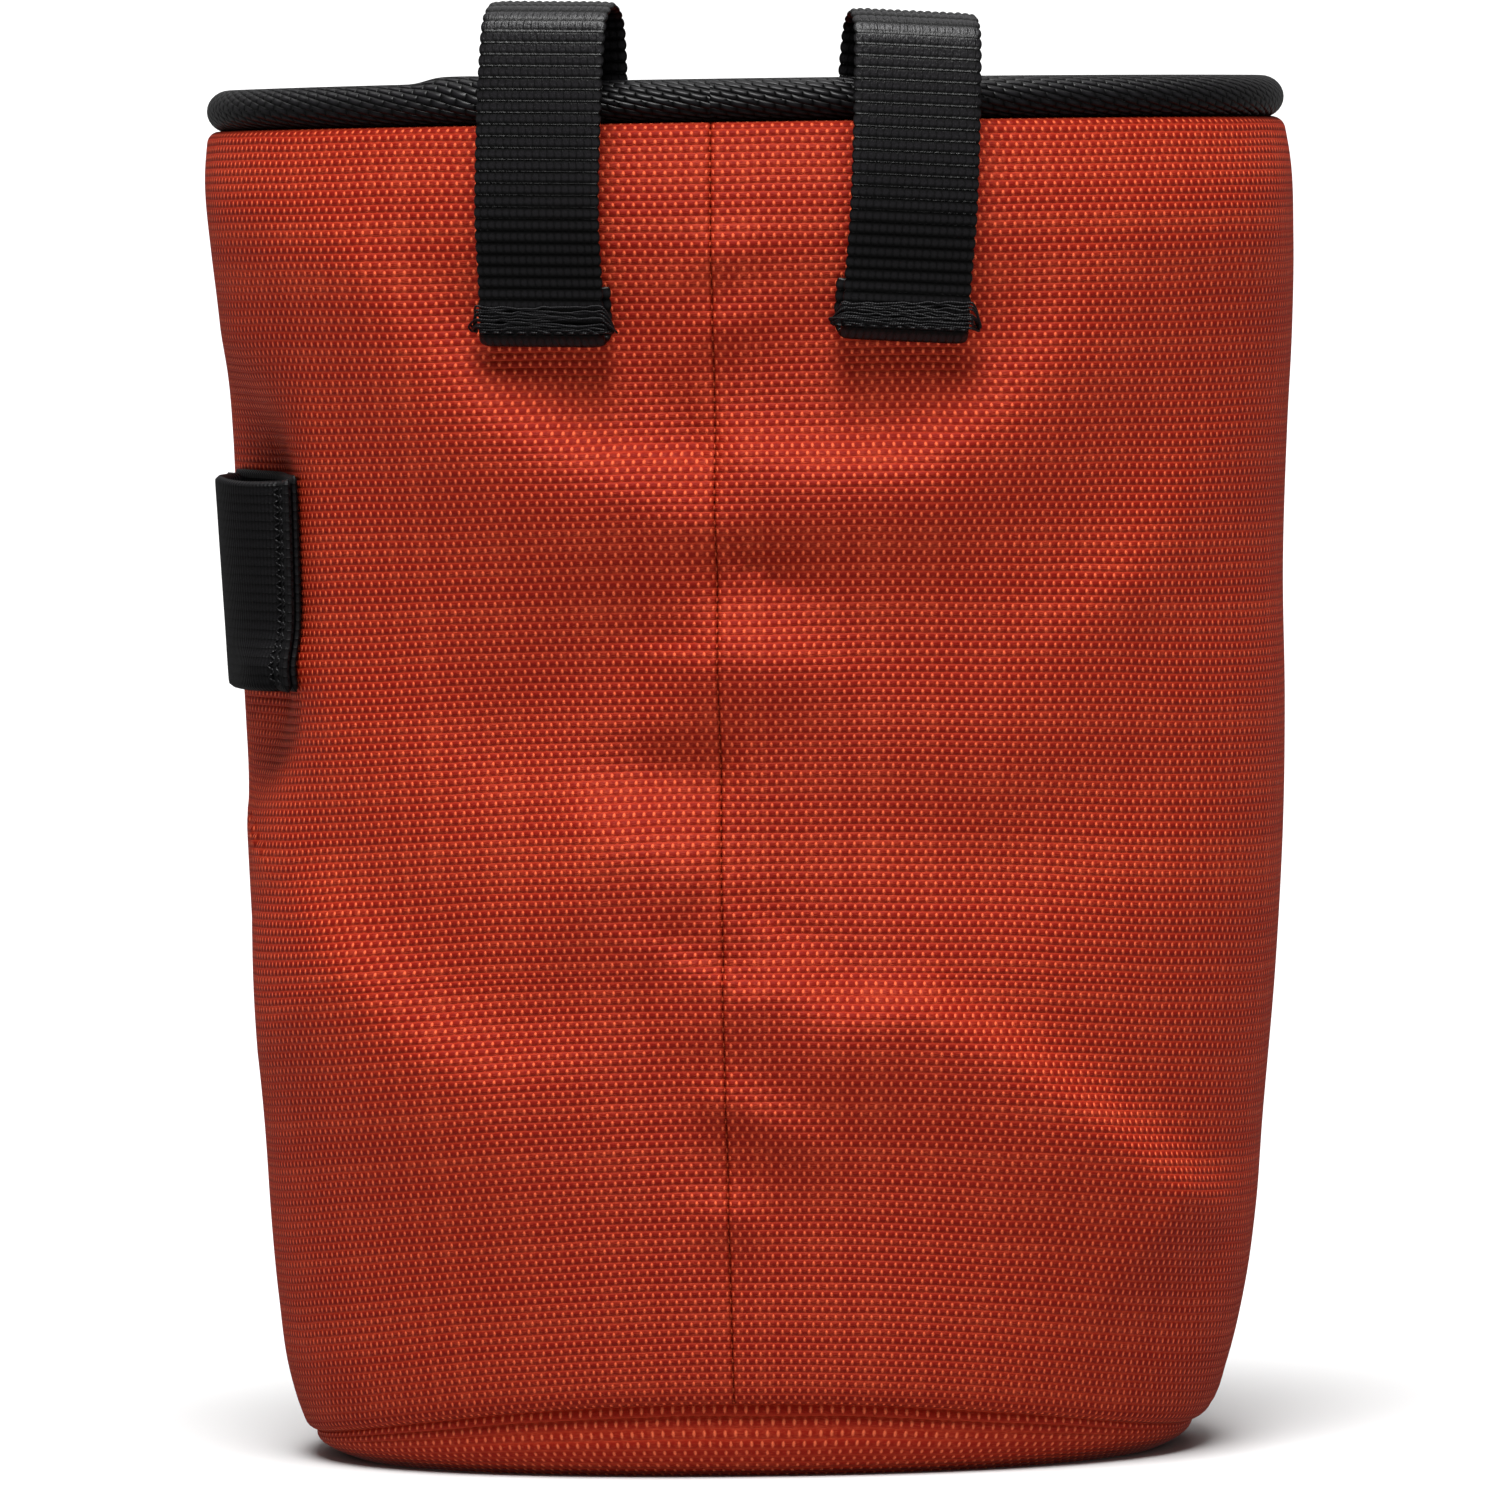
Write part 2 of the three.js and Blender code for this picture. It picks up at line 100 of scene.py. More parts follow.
# %% Shader maths
class Wire:
    """A socket of a material: sums and products of wires add Math nodes."""

    def __init__(self, tree, socket):
        self.tree = tree
        self.socket = socket

    def maths(self, operation, *values):
        node = self.tree.nodes.new("ShaderNodeMath")
        node.operation = operation
        for place, value in zip(node.inputs, values):
            if isinstance(value, Wire):
                self.tree.links.new(value.socket, place)
            else:
                place.default_value = value
        return Wire(self.tree, node.outputs[0])

    def __add__(self, other): return self.maths("ADD", self, other)
    def __radd__(self, other): return self.maths("ADD", other, self)
    def __sub__(self, other): return self.maths("SUBTRACT", self, other)
    def __rsub__(self, other): return self.maths("SUBTRACT", other, self)
    def __mul__(self, other): return self.maths("MULTIPLY", self, other)
    def __rmul__(self, other): return self.maths("MULTIPLY", other, self)
    def __truediv__(self, other): return self.maths("DIVIDE", self, other)
    def __pow__(self, other): return self.maths("POWER", self, other)
    def floor(self): return self.maths("FLOOR", self)
    def fract(self): return self.maths("FRACT", self)
    def arch(self): return self.maths("SINE", self.fract() * math.pi)
    def most(self, other): return self.maths("MAXIMUM", self, other)
    def least(self, other): return self.maths("MINIMUM", self, other)
    def size(self): return self.maths("ABSOLUTE", self)


class Finish:
    """A material with its shader, and one method that adds any node."""

    def __init__(self, name, **settings):
        self.material = bpy.data.materials.new(name)
        self.material.use_nodes = True
        self.tree = self.material.node_tree
        self.shader = self.tree.nodes["Principled BSDF"]
        for key, value in settings.items():
            self.shader.inputs[key.replace("_", " ").title().replace("Ior", "IOR")].default_value = value

    def node(self, kind, settings, inputs, output=0):
        node = self.tree.nodes.new(kind)
        for key, value in settings.items():
            setattr(node, key, value)
        for key, value in inputs.items():
            place = next(s for s in node.inputs if key in (s.identifier, s.name))
            if isinstance(value, Wire):
                self.tree.links.new(value.socket, place)
            else:
                place.default_value = value
        outputs = {s.identifier: s for s in node.outputs}
        return Wire(self.tree, outputs[output] if isinstance(output, str) else node.outputs[output])

    def cloth_place(self):
        """Distance along the cloth and up it, in metres, from the piece's own map."""
        place = self.node("ShaderNodeUVMap", {"uv_map": "cloth"}, {})
        return (
            self.node("ShaderNodeSeparateXYZ", {}, {"Vector": place}, "X"),
            self.node("ShaderNodeSeparateXYZ", {}, {"Vector": place}, "Y"),
        )

    def point(self, x, y, z=0.0):
        return self.node("ShaderNodeCombineXYZ", {}, {"X": x, "Y": y, "Z": z})

    def noise(self, point, detail=2.0):
        inputs = {"Vector": point, "Scale": 1.0, "Detail": detail}
        return self.node("ShaderNodeTexNoise", {}, inputs, "Fac")

    def dice(self, value):
        """A random number from 0 to 1 for each whole value."""
        return self.node("ShaderNodeTexWhiteNoise", {"noise_dimensions": "1D"}, {"W": value}, "Value")

    def mix(self, share, low, high):
        inputs = {"Factor_Float": share, "A_Color": low, "B_Color": high}
        return self.node("ShaderNodeMix", {"data_type": "RGBA"}, inputs, "Result_Color")

    def wear(self, height, relief, **looks):
        """Plugs looks into the shader, and height into a bump of so many metres."""
        inputs = {"Height": height, "Distance": relief, "Strength": 1.0}
        looks["Normal"] = self.node("ShaderNodeBump", {}, inputs)
        for key, wire in looks.items():
            self.tree.links.new(wire.socket, self.shader.inputs[key.replace("_", " ")])


def light_share(shade):
    """Light that a shade from 0 to 255 of a picture stands for, by the usual curve of a screen."""
    if shade > 10:
        return ((shade / 255 + 0.055) / 1.055) ** 2.4
    return shade / 255 / 12.92


def rgb(red, green, blue):
    """Colour as a picture shows it, turned to the light that a shader counts in."""
    return (light_share(red), light_share(green), light_share(blue), 1)


# %% [markdown]
# The bag's cloth is a coarse plain weave. Thick weft threads lie in rows and show as round pillows, two
# warp threads long, staggered from row to row, and a small bead of warp crosses between two pillows.
# The pattern is worked out from the cloth's own map, which is in metres, so that it bends with every
# fold and keeps its scale. Threads differ a little, so each row and column gets its own shade. The warp
# beads are painted a light salmon, a painted highlight on their crowns. The low gaps around the pillows
# are painted lighter than the pillow tops, partly as painted light on the net of threads.

# %% Cloth finish
WARP_PAIR = 1.148 * MM
WEFT_PITCH = 0.92 * MM
WEAVE_RELIEF = 0.24 * MM
BEAD_HALF_WIDTH = 0.22 * MM
BEAD_HALF_LENGTH = 0.34 * MM
PILLOW_HEIGHT = 0.75
PILLOW_ROUNDNESS = 0.7
PILLOW_COVER = 1.8
BEAD_COVER = 1.3
SWAY = 0.5
SWAY_SCALE = 60
CLOUD_SCALE = (90, 140)
FIBRE_SCALE = (1500, 9000)
FIBRE_HEIGHT = 0.22
ROW_SHADE = 0.12
COLUMN_SHADE = 0.1
CLOUD_SHADE = 0.12
FIBRE_SHADE = 0.6
MEAN_SHADE = 0.46


def cloth_finish(name, pillow_colour, bead_highlight_colour, lit_gap_colour):
    finish = Finish(name, roughness=0.6, specular_ior_level=0.05)
    u, v = finish.cloth_place()
    sway = finish.noise(finish.point(u * SWAY_SCALE, v * SWAY_SCALE)) - 0.5
    row = v / WEFT_PITCH + sway * SWAY
    up = row.fract() - 0.5
    pair = u / WARP_PAIR + row.floor() * 0.5
    aside = (pair.fract() - 0.5).size()
    pillow = (1 - (up * 2) ** 2) * (1 - (aside * 2) ** 2) ** PILLOW_ROUNDNESS
    from_bead = (0.5 - aside) * (WARP_PAIR / BEAD_HALF_WIDTH)
    along_bead = up * (WEFT_PITCH / BEAD_HALF_LENGTH)
    bead = (1 - from_bead * from_bead - along_bead * along_bead).most(0.0)
    height = (pillow * PILLOW_HEIGHT).most(bead)
    row_shade = finish.dice(row.floor())
    column_shade = finish.dice((u / WARP_PAIR * 2).floor() + 0.5)
    cloudy = finish.noise(finish.point(u * CLOUD_SCALE[0], v * CLOUD_SCALE[1]), 3.0)
    fibre = finish.noise(finish.point(u * FIBRE_SCALE[0], v * FIBRE_SCALE[1]), 1.0)
    threads_shade = row_shade * ROW_SHADE + column_shade * COLUMN_SHADE
    shade = threads_shade + cloudy * CLOUD_SHADE + fibre * FIBRE_SHADE - MEAN_SHADE
    # The low gaps are lighter than the pillow tops: partly painted light on the net of threads.
    thread = finish.mix((height * PILLOW_COVER).least(1.0), lit_gap_colour, pillow_colour)
    # The warp beads take a light salmon colour: a painted highlight on their crowns.
    colour = finish.mix((bead * BEAD_COVER + shade).most(0.0).least(1.0), thread, bead_highlight_colour)
    finish.wear(height + fibre * FIBRE_HEIGHT, WEAVE_RELIEF, Base_Color=colour)
    return finish.material


# In each call the second colour is the beads' painted highlight, and the third is the gaps' colour,
# lightened partly as painted light.
body_finish = cloth_finish("body_cloth", rgb(106, 15, 6), rgb(204, 86, 53), rgb(138, 37, 18))
# The base's colours are painted lighter than the body's, though it is the same cloth: painted light on the
# base.
lit_base_finish = cloth_finish("base_cloth", rgb(128, 22, 9), rgb(214, 96, 62), rgb(150, 42, 22))
print("cloth finishes:", body_finish.name, lit_base_finish.name)

# %% [markdown]
# The trims are black and differ only in how they are woven, so each gets a pattern of its own: twill
# tape has short slanted dashes, webbing has rows of round bumps, and elastic has fine ribs with rows
# of dots. Their raised threads are painted a lighter grey, a painted sheen, and the low places between
# them near black, a painted shade.

# %% Trim finishes
TWILL_ROW = 0.8 * MM
TWILL_RUN = 2.9 * MM
TWILL_DASH = 1.9 * MM
TWILL_STAGGER = 0.37
TWILL_RELIEF = 0.22 * MM
RIB_PITCH = 1.36 * MM
RIB_BUMP = 0.86 * MM
WEBBING_RELIEF = 0.3 * MM
ELASTIC_ROW = 1.07 * MM
ELASTIC_RIB = 0.55 * MM
ELASTIC_RELIEF = 0.15 * MM
THREAD_TWIST = (0.5 * MM, 0.3 * MM)
THREAD_RELIEF = 0.05 * MM
BLACK = rgb(6, 6, 7)
# Near black as painted shade for the low places, lighter greys as painted sheen on raised threads.
BLACK_PAINTED_SHADE = rgb(1, 1, 1)
BLACK_PAINTED_SHEEN = rgb(20, 19, 21)
WEBBING_PAINTED_SHEEN = rgb(18, 17, 19)


def tape_finish():
    finish = Finish("binding_tape", roughness=0.34, specular_ior_level=0.12)
    u, v = finish.cloth_place()
    row = v / TWILL_ROW + u / TWILL_RUN
    dash = (u / TWILL_DASH + row.floor() * TWILL_STAGGER).arch()
    height = row.arch() ** 0.7 * dash ** 0.4
    # Raised dashes painted lighter as painted sheen, the low places near black as painted shade.
    colour = finish.mix(height ** 2, BLACK_PAINTED_SHADE, BLACK_PAINTED_SHEEN)
    finish.wear(height, TWILL_RELIEF, Base_Color=colour)
    return finish.material


def webbing_finish():
    finish = Finish("webbing", roughness=0.36, specular_ior_level=0.22)
    u, v = finish.cloth_place()
    rib = (v / RIB_PITCH).arch()
    bump = (u / RIB_BUMP).arch()
    fibre = finish.noise(finish.point(u * 9000, v * 2500), 2.0)
    height = rib * 0.6 + bump * rib * 0.4 + fibre * 0.25
    # Raised ribs painted lighter as painted sheen, the low places near black as painted shade.
    colour = finish.mix(((height - 0.5) * 2.2).most(0.0).least(1.0), BLACK_PAINTED_SHADE, WEBBING_PAINTED_SHEEN)
    finish.wear(height, WEBBING_RELIEF, Base_Color=colour)
    return finish.material


def elastic_finish():
    finish = Finish("elastic", roughness=0.5, specular_ior_level=0.12)
    u, v = finish.cloth_place()
    row = (v / ELASTIC_ROW).arch()
    rib = (u / ELASTIC_RIB).arch()
    grain = finish.noise(finish.point(u * 3000, v * 3000), 2.0)
    height = row ** 0.6 * 0.45 + rib * 0.35 + grain * 0.35
    # Raised rows painted lighter as painted sheen, the low places near black as painted shade.
    colour = finish.mix((height - 0.3).most(0.0).least(1.0), BLACK_PAINTED_SHADE, BLACK_PAINTED_SHEEN)
    finish.wear(height, ELASTIC_RELIEF, Base_Color=colour)
    return finish.material


def thread_finish():
    finish = Finish("sewing_thread", roughness=0.4, specular_ior_level=0.2)
    u, v = finish.cloth_place()
    twist = (u / THREAD_TWIST[0] + v / THREAD_TWIST[1]).arch()
    # The crests of the twist are painted lighter: a painted sheen.
    finish.wear(twist, THREAD_RELIEF, Base_Color=finish.mix(twist, BLACK, BLACK_PAINTED_SHEEN))
    return finish.material


rim_finish = tape_finish()
strap_finish = webbing_finish()
band_finish = elastic_finish()
stitch_finish = thread_finish()
print("trim finishes:", [m.name for m in (rim_finish, strap_finish, band_finish, stitch_finish)])

# %% [markdown]
# Every soft piece here starts as a flat grid, as cloth starts as a flat cut. The grid's rows and columns
# are then laid on the form, and its map is given in metres, measured along the cloth. Where a piece
# closes on itself, like a ring, its first and last columns land on the same place and are merged.

# %% Laying a grid on a form
MERGE_DISTANCE = 0.002 * MM


def select_only(piece):
    bpy.ops.object.select_all(action="DESELECT")
    piece.select_set(True)
    bpy.context.view_layer.objects.active = piece


def lay_cloth(name, points, spots, finish):
    """points and spots hold a place and a spot of the map for each row and column of the cloth."""
    rows, columns = points.shape[0] - 1, points.shape[1] - 1
    bpy.ops.object.select_all(action="DESELECT")
    bpy.ops.mesh.primitive_grid_add(x_subdivisions=columns, y_subdivisions=rows, size=1)
    piece = bpy.context.object
    piece.name = piece.data.name = name
    mesh = piece.data
    flat = np.empty(len(mesh.vertices) * 3)
    mesh.vertices.foreach_get("co", flat)
    flat = flat.reshape(-1, 3)
    column = np.rint((flat[:, 0] + 0.5) * columns).astype(int)
    row = np.rint((flat[:, 1] + 0.5) * rows).astype(int)
    mesh.vertices.foreach_set("co", points[row, column].ravel())
    corner = np.empty(len(mesh.loops), dtype=int)
    mesh.loops.foreach_get("vertex_index", corner)
    cloth_map = mesh.uv_layers[0]
    cloth_map.name = "cloth"
    cloth_map.data.foreach_set("uv", spots[row[corner], column[corner]].ravel())
    mesh.materials.append(finish)
    select_only(piece)
    bpy.ops.object.mode_set(mode="EDIT")
    bpy.ops.mesh.select_all(action="SELECT")
    bpy.ops.mesh.remove_doubles(threshold=MERGE_DISTANCE)
    bpy.ops.object.mode_set(mode="OBJECT")
    bpy.ops.object.shade_smooth()
    return piece


def run_lengths(points, axis):
    """Distance from the first row or column along the cloth."""
    steps = np.linalg.norm(np.diff(points, axis=axis), axis=-1)
    pad = [(0, 0), (0, 0)]
    pad[axis] = (1, 0)
    return np.pad(np.cumsum(steps, axis=axis), pad)


def measured_spots(points):
    """Map in metres: mean run of the columns along each row, and of the rows up each column."""
    along = np.median(run_lengths(points, 1), axis=0)
    up = np.median(run_lengths(points, 0), axis=1)
    return np.stack(np.broadcast_arrays(along[None, :], up[:, None]), axis=-1)


def wrap_up(piece, node):
    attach(piece, "root")
    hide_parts(node)
    count = sum(len(p.vertices) - 2 for p in piece.data.polygons)
    print(piece.name, "stands for", node, "with", count, "triangles")


# %% [markdown]
# The bag's form is a rounded box: its section is a superellipse, a little squarer than an ellipse, and a
# short table says how wide and deep it is at each height. The sizes match the frame's.

# %% Form of the bag
MOUTH_WIDTH = 128.4 * MM
MOUTH_DEPTH = 100 * MM
HEM_HEIGHT = 156.8 * MM
SECTION_POWER = 2.2
BASE_SEAM_FRONT = 8.8 * MM
BASE_SEAM_SIDE = 3 * MM

# Shares of the hem's height, of half the mouth's width on the left and right, and of half its depth
Section = namedtuple("Section", "height left right front back")
SECTIONS = [
    Section(0, 0.78, 0.768, 0.78, 0.78),
    Section(0.012, 0.822, 0.8, 0.82, 0.82),
    Section(0.031, 0.845, 0.837, 0.85, 0.85),
    Section(0.061, 0.867, 0.864, 0.88, 0.875),
    Section(0.12, 0.886, 0.9, 0.915, 0.905),
    Section(0.18, 0.897, 0.922, 0.935, 0.93),
    Section(0.24, 0.903, 0.935, 0.95, 0.95),
    Section(0.36, 0.916, 0.964, 0.975, 0.985),
    Section(0.48, 0.927, 0.983, 0.99, 1.01),
    Section(0.56, 0.939, 0.988, 0.99, 1.015),
    Section(0.66, 0.947, 0.988, 0.985, 1.01),
    Section(0.77, 0.953, 1, 0.985, 1),
    Section(0.84, 0.96, 1.011, 0.99, 1),
    Section(0.91, 0.974, 1.016, 1, 1.005),
    Section(0.97, 0.986, 1.012, 1.005, 1.005),
    Section(1, 0.98, 1, 0.99, 0.99),
]
TABLE = np.array(SECTIONS)


def smooth_column(column, height):
    """Value of a column of the table at a height, on a smooth curve through its rows."""
    knots, values = TABLE[:, 0], TABLE[:, column]
    slopes = np.gradient(values, knots)
    i = np.clip(np.searchsorted(knots, height) - 1, 0, len(knots) - 2)
    span = knots[i + 1] - knots[i]
    t = np.clip((height - knots[i]) / span, 0, 1)
    value = values[i] * (1 + 2 * t) * (1 - t) ** 2 + values[i + 1] * t * t * (3 - 2 * t)
    return value + span * (slopes[i] * t * (1 - t) ** 2 - slopes[i + 1] * t * t * (1 - t))


def ease(value, low, high):
    t = np.clip((value - low) / (high - low), 0, 1)
    return t * t * (3 - 2 * t)


def plain_point(angle, z):
    """Points of the form without folds, and the directions out of it."""
    angle, z = np.broadcast_arrays(angle, z)
    left, right, front, back = (smooth_column(k, z / HEM_HEIGHT) for k in (1, 2, 3, 4))
    c, s = np.cos(angle), np.sin(angle)
    half_x = np.where(c < 0, left, right) * MOUTH_WIDTH / 2
    half_y = np.where(s < 0, front, back) * MOUTH_DEPTH / 2
    bend = 2 / SECTION_POWER
    x = half_x * np.sign(c) * abs(c) ** bend
    y = half_y * np.sign(s) * abs(s) ** bend
    out_x = np.sign(c) * abs(c) ** (2 - bend) / half_x
    out_y = np.sign(s) * abs(s) ** (2 - bend) / half_y
    point = np.stack([x, y, z], axis=-1)
    out = np.stack([out_x, out_y, 0 * z], axis=-1)
    return point, out / np.linalg.norm(out, axis=-1, keepdims=True)


right_side = plain_point(0.0, HEM_HEIGHT / 2)[0]
print("form: at mid height its right side is at", [round(float(x) / MM, 1) for x in right_side], "mm")

# %% [markdown]
# Soft cloth that has been squeezed keeps folds, and the light on them is what makes it look soft. Each
# fold here is a crest line along which the cloth stands out or sinks in. Above its crest it fades over a
# short spread, and below it over a longer one, because cloth hangs from a fold. Such lines are easier to
# place against a photograph than a cloth simulation is.

# %% Folds
# A crest's points are (share of half the mouth's width, share of the hem's height, share of the rise).
Fold = namedtuple("Fold", "side rise spread tail crest")
FRONT, BACK = -1, 1
FOLDS = [
    Fold(FRONT, 2.6 * MM, 6.0 * MM, 3.0, [
        (-0.8, 0.985, 0.8), (-0.4, 0.975, 1), (0.4, 0.975, 1), (0.85, 0.98, 0.8)]),
    Fold(FRONT, -2.1 * MM, 9.0 * MM, 1.0, [(-0.55, 0.6, 0.3), (-0.4, 0.56, 1), (-0.2, 0.6, 0.6)]),
    Fold(FRONT, -2.1 * MM, 9.0 * MM, 1.0, [(0.3, 0.48, 0.7), (0.5, 0.46, 1), (0.7, 0.5, 0.6)]),
    Fold(FRONT, 3.9 * MM, 5.0 * MM, 2.5, [
        (-0.74, 0.95, 0.1), (-0.62, 0.89, 0.5), (-0.53, 0.838, 0.7), (-0.42, 0.79, 0.9), (-0.3, 0.758, 1),
        (-0.17, 0.735, 1), (-0.03, 0.7, 0.5)]),
    Fold(FRONT, 3.9 * MM, 5.0 * MM, 2.0, [
        (0.03, 0.752, 0.8), (0.175, 0.739, 1), (0.356, 0.742, 1), (0.5, 0.78, 0.7), (0.61, 0.83, 0.5),
        (0.7, 0.91, 0.1)]),
    Fold(FRONT, 2.7 * MM, 4.0 * MM, 2.0, [(0.02, 0.612, 1), (0.12, 0.605, 0.9), (0.26, 0.59, 0.1)]),
    Fold(FRONT, -1.8 * MM, 3.5 * MM, 1.0, [(0.02, 0.675, 0.9), (0.1, 0.672, 0.8), (0.22, 0.67, 0.1)]),
    Fold(FRONT, 2.9 * MM, 5.0 * MM, 3.0, [
        (-0.32, 0.5, 0.1), (-0.2, 0.47, 1), (-0.06, 0.45, 0.9), (-0.02, 0.44, 0.6)]),
    Fold(FRONT, -2.0 * MM, 3.5 * MM, 1.0, [(-0.28, 0.535, 0.1), (-0.12, 0.53, 0.9), (-0.02, 0.528, 0.7)]),
    Fold(FRONT, 3.6 * MM, 6.0 * MM, 3.0, [
        (-0.82, 0.44, 0.3), (-0.69, 0.375, 1), (-0.565, 0.32, 1), (-0.42, 0.29, 0.9), (-0.26, 0.3, 0.5),
        (-0.12, 0.33, 0.1)]),
    Fold(FRONT, 3.6 * MM, 4.2 * MM, 3.0, [
        (0.09, 0.36, 0.8), (0.2, 0.337, 1), (0.34, 0.342, 0.9), (0.487, 0.305, 0.9), (0.63, 0.255, 1),
        (0.777, 0.2, 0.8), (0.88, 0.17, 0.1)]),
    Fold(FRONT, 1.5 * MM, 2.6 * MM, 1.5, [(0.01, 0.285, 1), (0.1, 0.262, 0.8), (0.22, 0.235, 0.1)]),
    Fold(FRONT, 1.3 * MM, 2.6 * MM, 1.5, [(0.01, 0.2, 1), (0.09, 0.18, 0.1)]),
    Fold(FRONT, 1.3 * MM, 2.4 * MM, 1.3, [(0.015, 0.91, 0.9), (0.13, 0.925, 0.1)]),
    Fold(FRONT, 1.4 * MM, 2.6 * MM, 1.3, [(0.015, 0.858, 0.9), (0.13, 0.875, 0.1)]),
    Fold(FRONT, -1.7 * MM, 2.8 * MM, 1.0, [(-0.11, 0.83, 0.1), (-0.03, 0.77, 1), (-0.02, 0.75, 0.6)]),
    Fold(FRONT, 1.3 * MM, 4.0 * MM, 1.6, [(0.55, 0.6, 0.1), (0.72, 0.66, 1), (0.86, 0.75, 0.2)]),
    Fold(FRONT, 1.7 * MM, 3.0 * MM, 1.2, [(-0.84, 0.6, 0.9), (-0.87, 0.54, 0.1)]),
    Fold(BACK, -1.5 * MM, 10 * MM, 1.0, [(-0.5, 0.7, 0.4), (-0.2, 0.65, 1), (0.1, 0.62, 0.4)]),
    Fold(BACK, 1.6 * MM, 9 * MM, 1.6, [(-0.4, 0.36, 0.2), (0.1, 0.31, 1), (0.6, 0.26, 0.3)]),
    Fold(BACK, -1.5 * MM, 9 * MM, 1.0, [(0.2, 0.5, 0.4), (0.5, 0.46, 1), (0.8, 0.42, 0.3)]),
    Fold(BACK, 1.3 * MM, 7 * MM, 2.0, [(-0.8, 0.82, 0.2), (-0.45, 0.86, 1), (-0.1, 0.8, 0.3)]),
]
FULL_FACING = 0.4
FOLDS_END = 0.9


def fold_lift(point, facing):
    """How far the folds lift the cloth at each point."""
    lift = np.zeros(point.shape[:-1])
    place = point[..., [0, 2]]
    scale = np.array([MOUTH_WIDTH / 2, HEM_HEIGHT])
    for fold in FOLDS:
        nearest = np.full(lift.shape, np.inf)
        own = np.zeros(lift.shape)
        for (x1, z1, share1), (x2, z2, share2) in zip(fold.crest, fold.crest[1:]):
            start = np.array([x1, z1]) * scale
            line = np.array([x2, z2]) * scale - start
            off = place - start
            t = np.clip(off @ line / (line @ line), 0, 1)
            away = np.linalg.norm(off - t[..., None] * line, axis=-1)
            below = (line[0] * off[..., 1] - line[1] * off[..., 0]) * np.sign(line[0]) < 0
            spread = fold.spread * np.where(below, fold.tail, 1)
            ridge = (share1 + (share2 - share1) * t) * np.exp(-((away / spread) ** 2))
            own = np.where(away < nearest, ridge, own)
            nearest = np.minimum(nearest, away)
        lift += fold.rise * own * ease(facing * fold.side, 0, FULL_FACING)
    return lift


# The brush loop: where its band starts at the front, how long and wide it is, and the dent behind it
BRUSH_START_X = -51.2 * MM
BRUSH_LENGTH = 28 * MM
BRUSH_WIDTH = 25 * MM
BRUSH_TOP = 116.6 * MM
BRUSH_MIDDLE = BRUSH_TOP - BRUSH_WIDTH / 2
BRUSH_DENT = 5.6 * MM
DENT_SIDEWAYS_END = 0.75
DENT_FULL = 0.45
DENT_END = 1.2
ANGLES = 1441


def front_angle(x, z):
    """Angle around the form of the front point that lies at x."""
    level = z / HEM_HEIGHT
    side = np.where(x < 0, smooth_column(1, level), smooth_column(2, level)) * MOUTH_WIDTH / 2
    return -np.arccos(np.sign(x) * (abs(x) / side) ** (SECTION_POWER / 2))


def angles_along(z, start, distances):
    """Angles of the points that lie so far along the form from the angle start; a minus goes left."""
    turns = start + np.linspace(-math.pi, math.pi, ANGLES)
    ring = plain_point(turns, z)[0]
    runs = run_lengths(ring[None], 1)[0]
    return np.interp(distances, runs - runs[len(runs) // 2], turns)


brush_start = front_angle(BRUSH_START_X, BRUSH_MIDDLE)
brush_centre = plain_point(angles_along(BRUSH_MIDDLE, brush_start, -BRUSH_LENGTH / 2), BRUSH_MIDDLE)[0]


def brush_dent(point):
    """How far the cloth sinks in behind the brush loop."""
    across = np.linalg.norm(point[..., :2] - brush_centre[:2], axis=-1)
    away = abs(point[..., 2] - BRUSH_MIDDLE)
    sideways = 1 - ease(across / BRUSH_LENGTH, 0, DENT_SIDEWAYS_END)
    return BRUSH_DENT * sideways * (1 - ease(away / BRUSH_WIDTH, DENT_FULL, DENT_END))


def form_point(angle, z, inset=0.0):
    """Points of the real surface with its folds, moved inwards by inset."""
    point, out = plain_point(angle, z)
    hem_fade = 1 - ease(z / HEM_HEIGHT, FOLDS_END, 1)
    lift = fold_lift(point, np.sin(angle) + 0 * point[..., 0]) * hem_fade - brush_dent(point) - inset
    return point + out * lift[..., None]


def seam_height(angle):
    """The seam that joins the base arches over the front and the back."""
    return BASE_SEAM_SIDE + (BASE_SEAM_FRONT - BASE_SEAM_SIDE) * abs(np.sin(angle)) ** SECTION_POWER


print("folds:", len(FOLDS))
print("dent behind the brush loop at", [round(float(x) / MM, 1) for x in brush_centre], "mm")

# %% [markdown]
# The body is one sheet of cloth, rolled round and sewn along the middle of the front. At the seam both
# edges turn in over a small round shoulder, which is what makes the dark line. The bottom edge turns in
# the same way over the base, and the top edge rolls over the hem under the rim. At the front the hem
# rises a little to meet the rim. The columns crowd at the seam, where the shoulder needs them. The two
# edges just touch, so that no light comes through. A Solidify modifier gives the cloth its wall.

# %% Body cloth
WALL = 1.0 * MM
SEAM_ROUND = 0.8 * MM
SEAM_GAP = -0.02 * MM
SEAM_ALLOWANCE = 5 * MM
LIP_ROUND = 1.2 * MM
HEM_ROUND = 1.3 * MM
LEDGE = 2.4 * MM
HEM_LIFT = 1.1 * MM
HEM_LIFT_BELOW = 20 * MM
RUN_LEVELS = (0.2, 0.5, 0.8)
FACE_START = 0.08
FACE_MIDDLE = 0.62
FRONT_SEAM = -math.pi / 2


def turned_edge(radius, flap, steps):
    """Cloth that turns in round a quarter circle and runs on as a flap: (distance along, depth) pairs
    from the flap's end out to the open face."""
    turn = np.linspace(0, math.pi / 2, steps)
    arc = np.stack([radius * (1 - np.cos(turn)), radius * (1 - np.sin(turn))], axis=-1)
    tail = np.stack([np.zeros(3), radius + flap * np.array([1, 0.6, 0.25])], axis=-1)
    return np.concatenate([tail, arc])


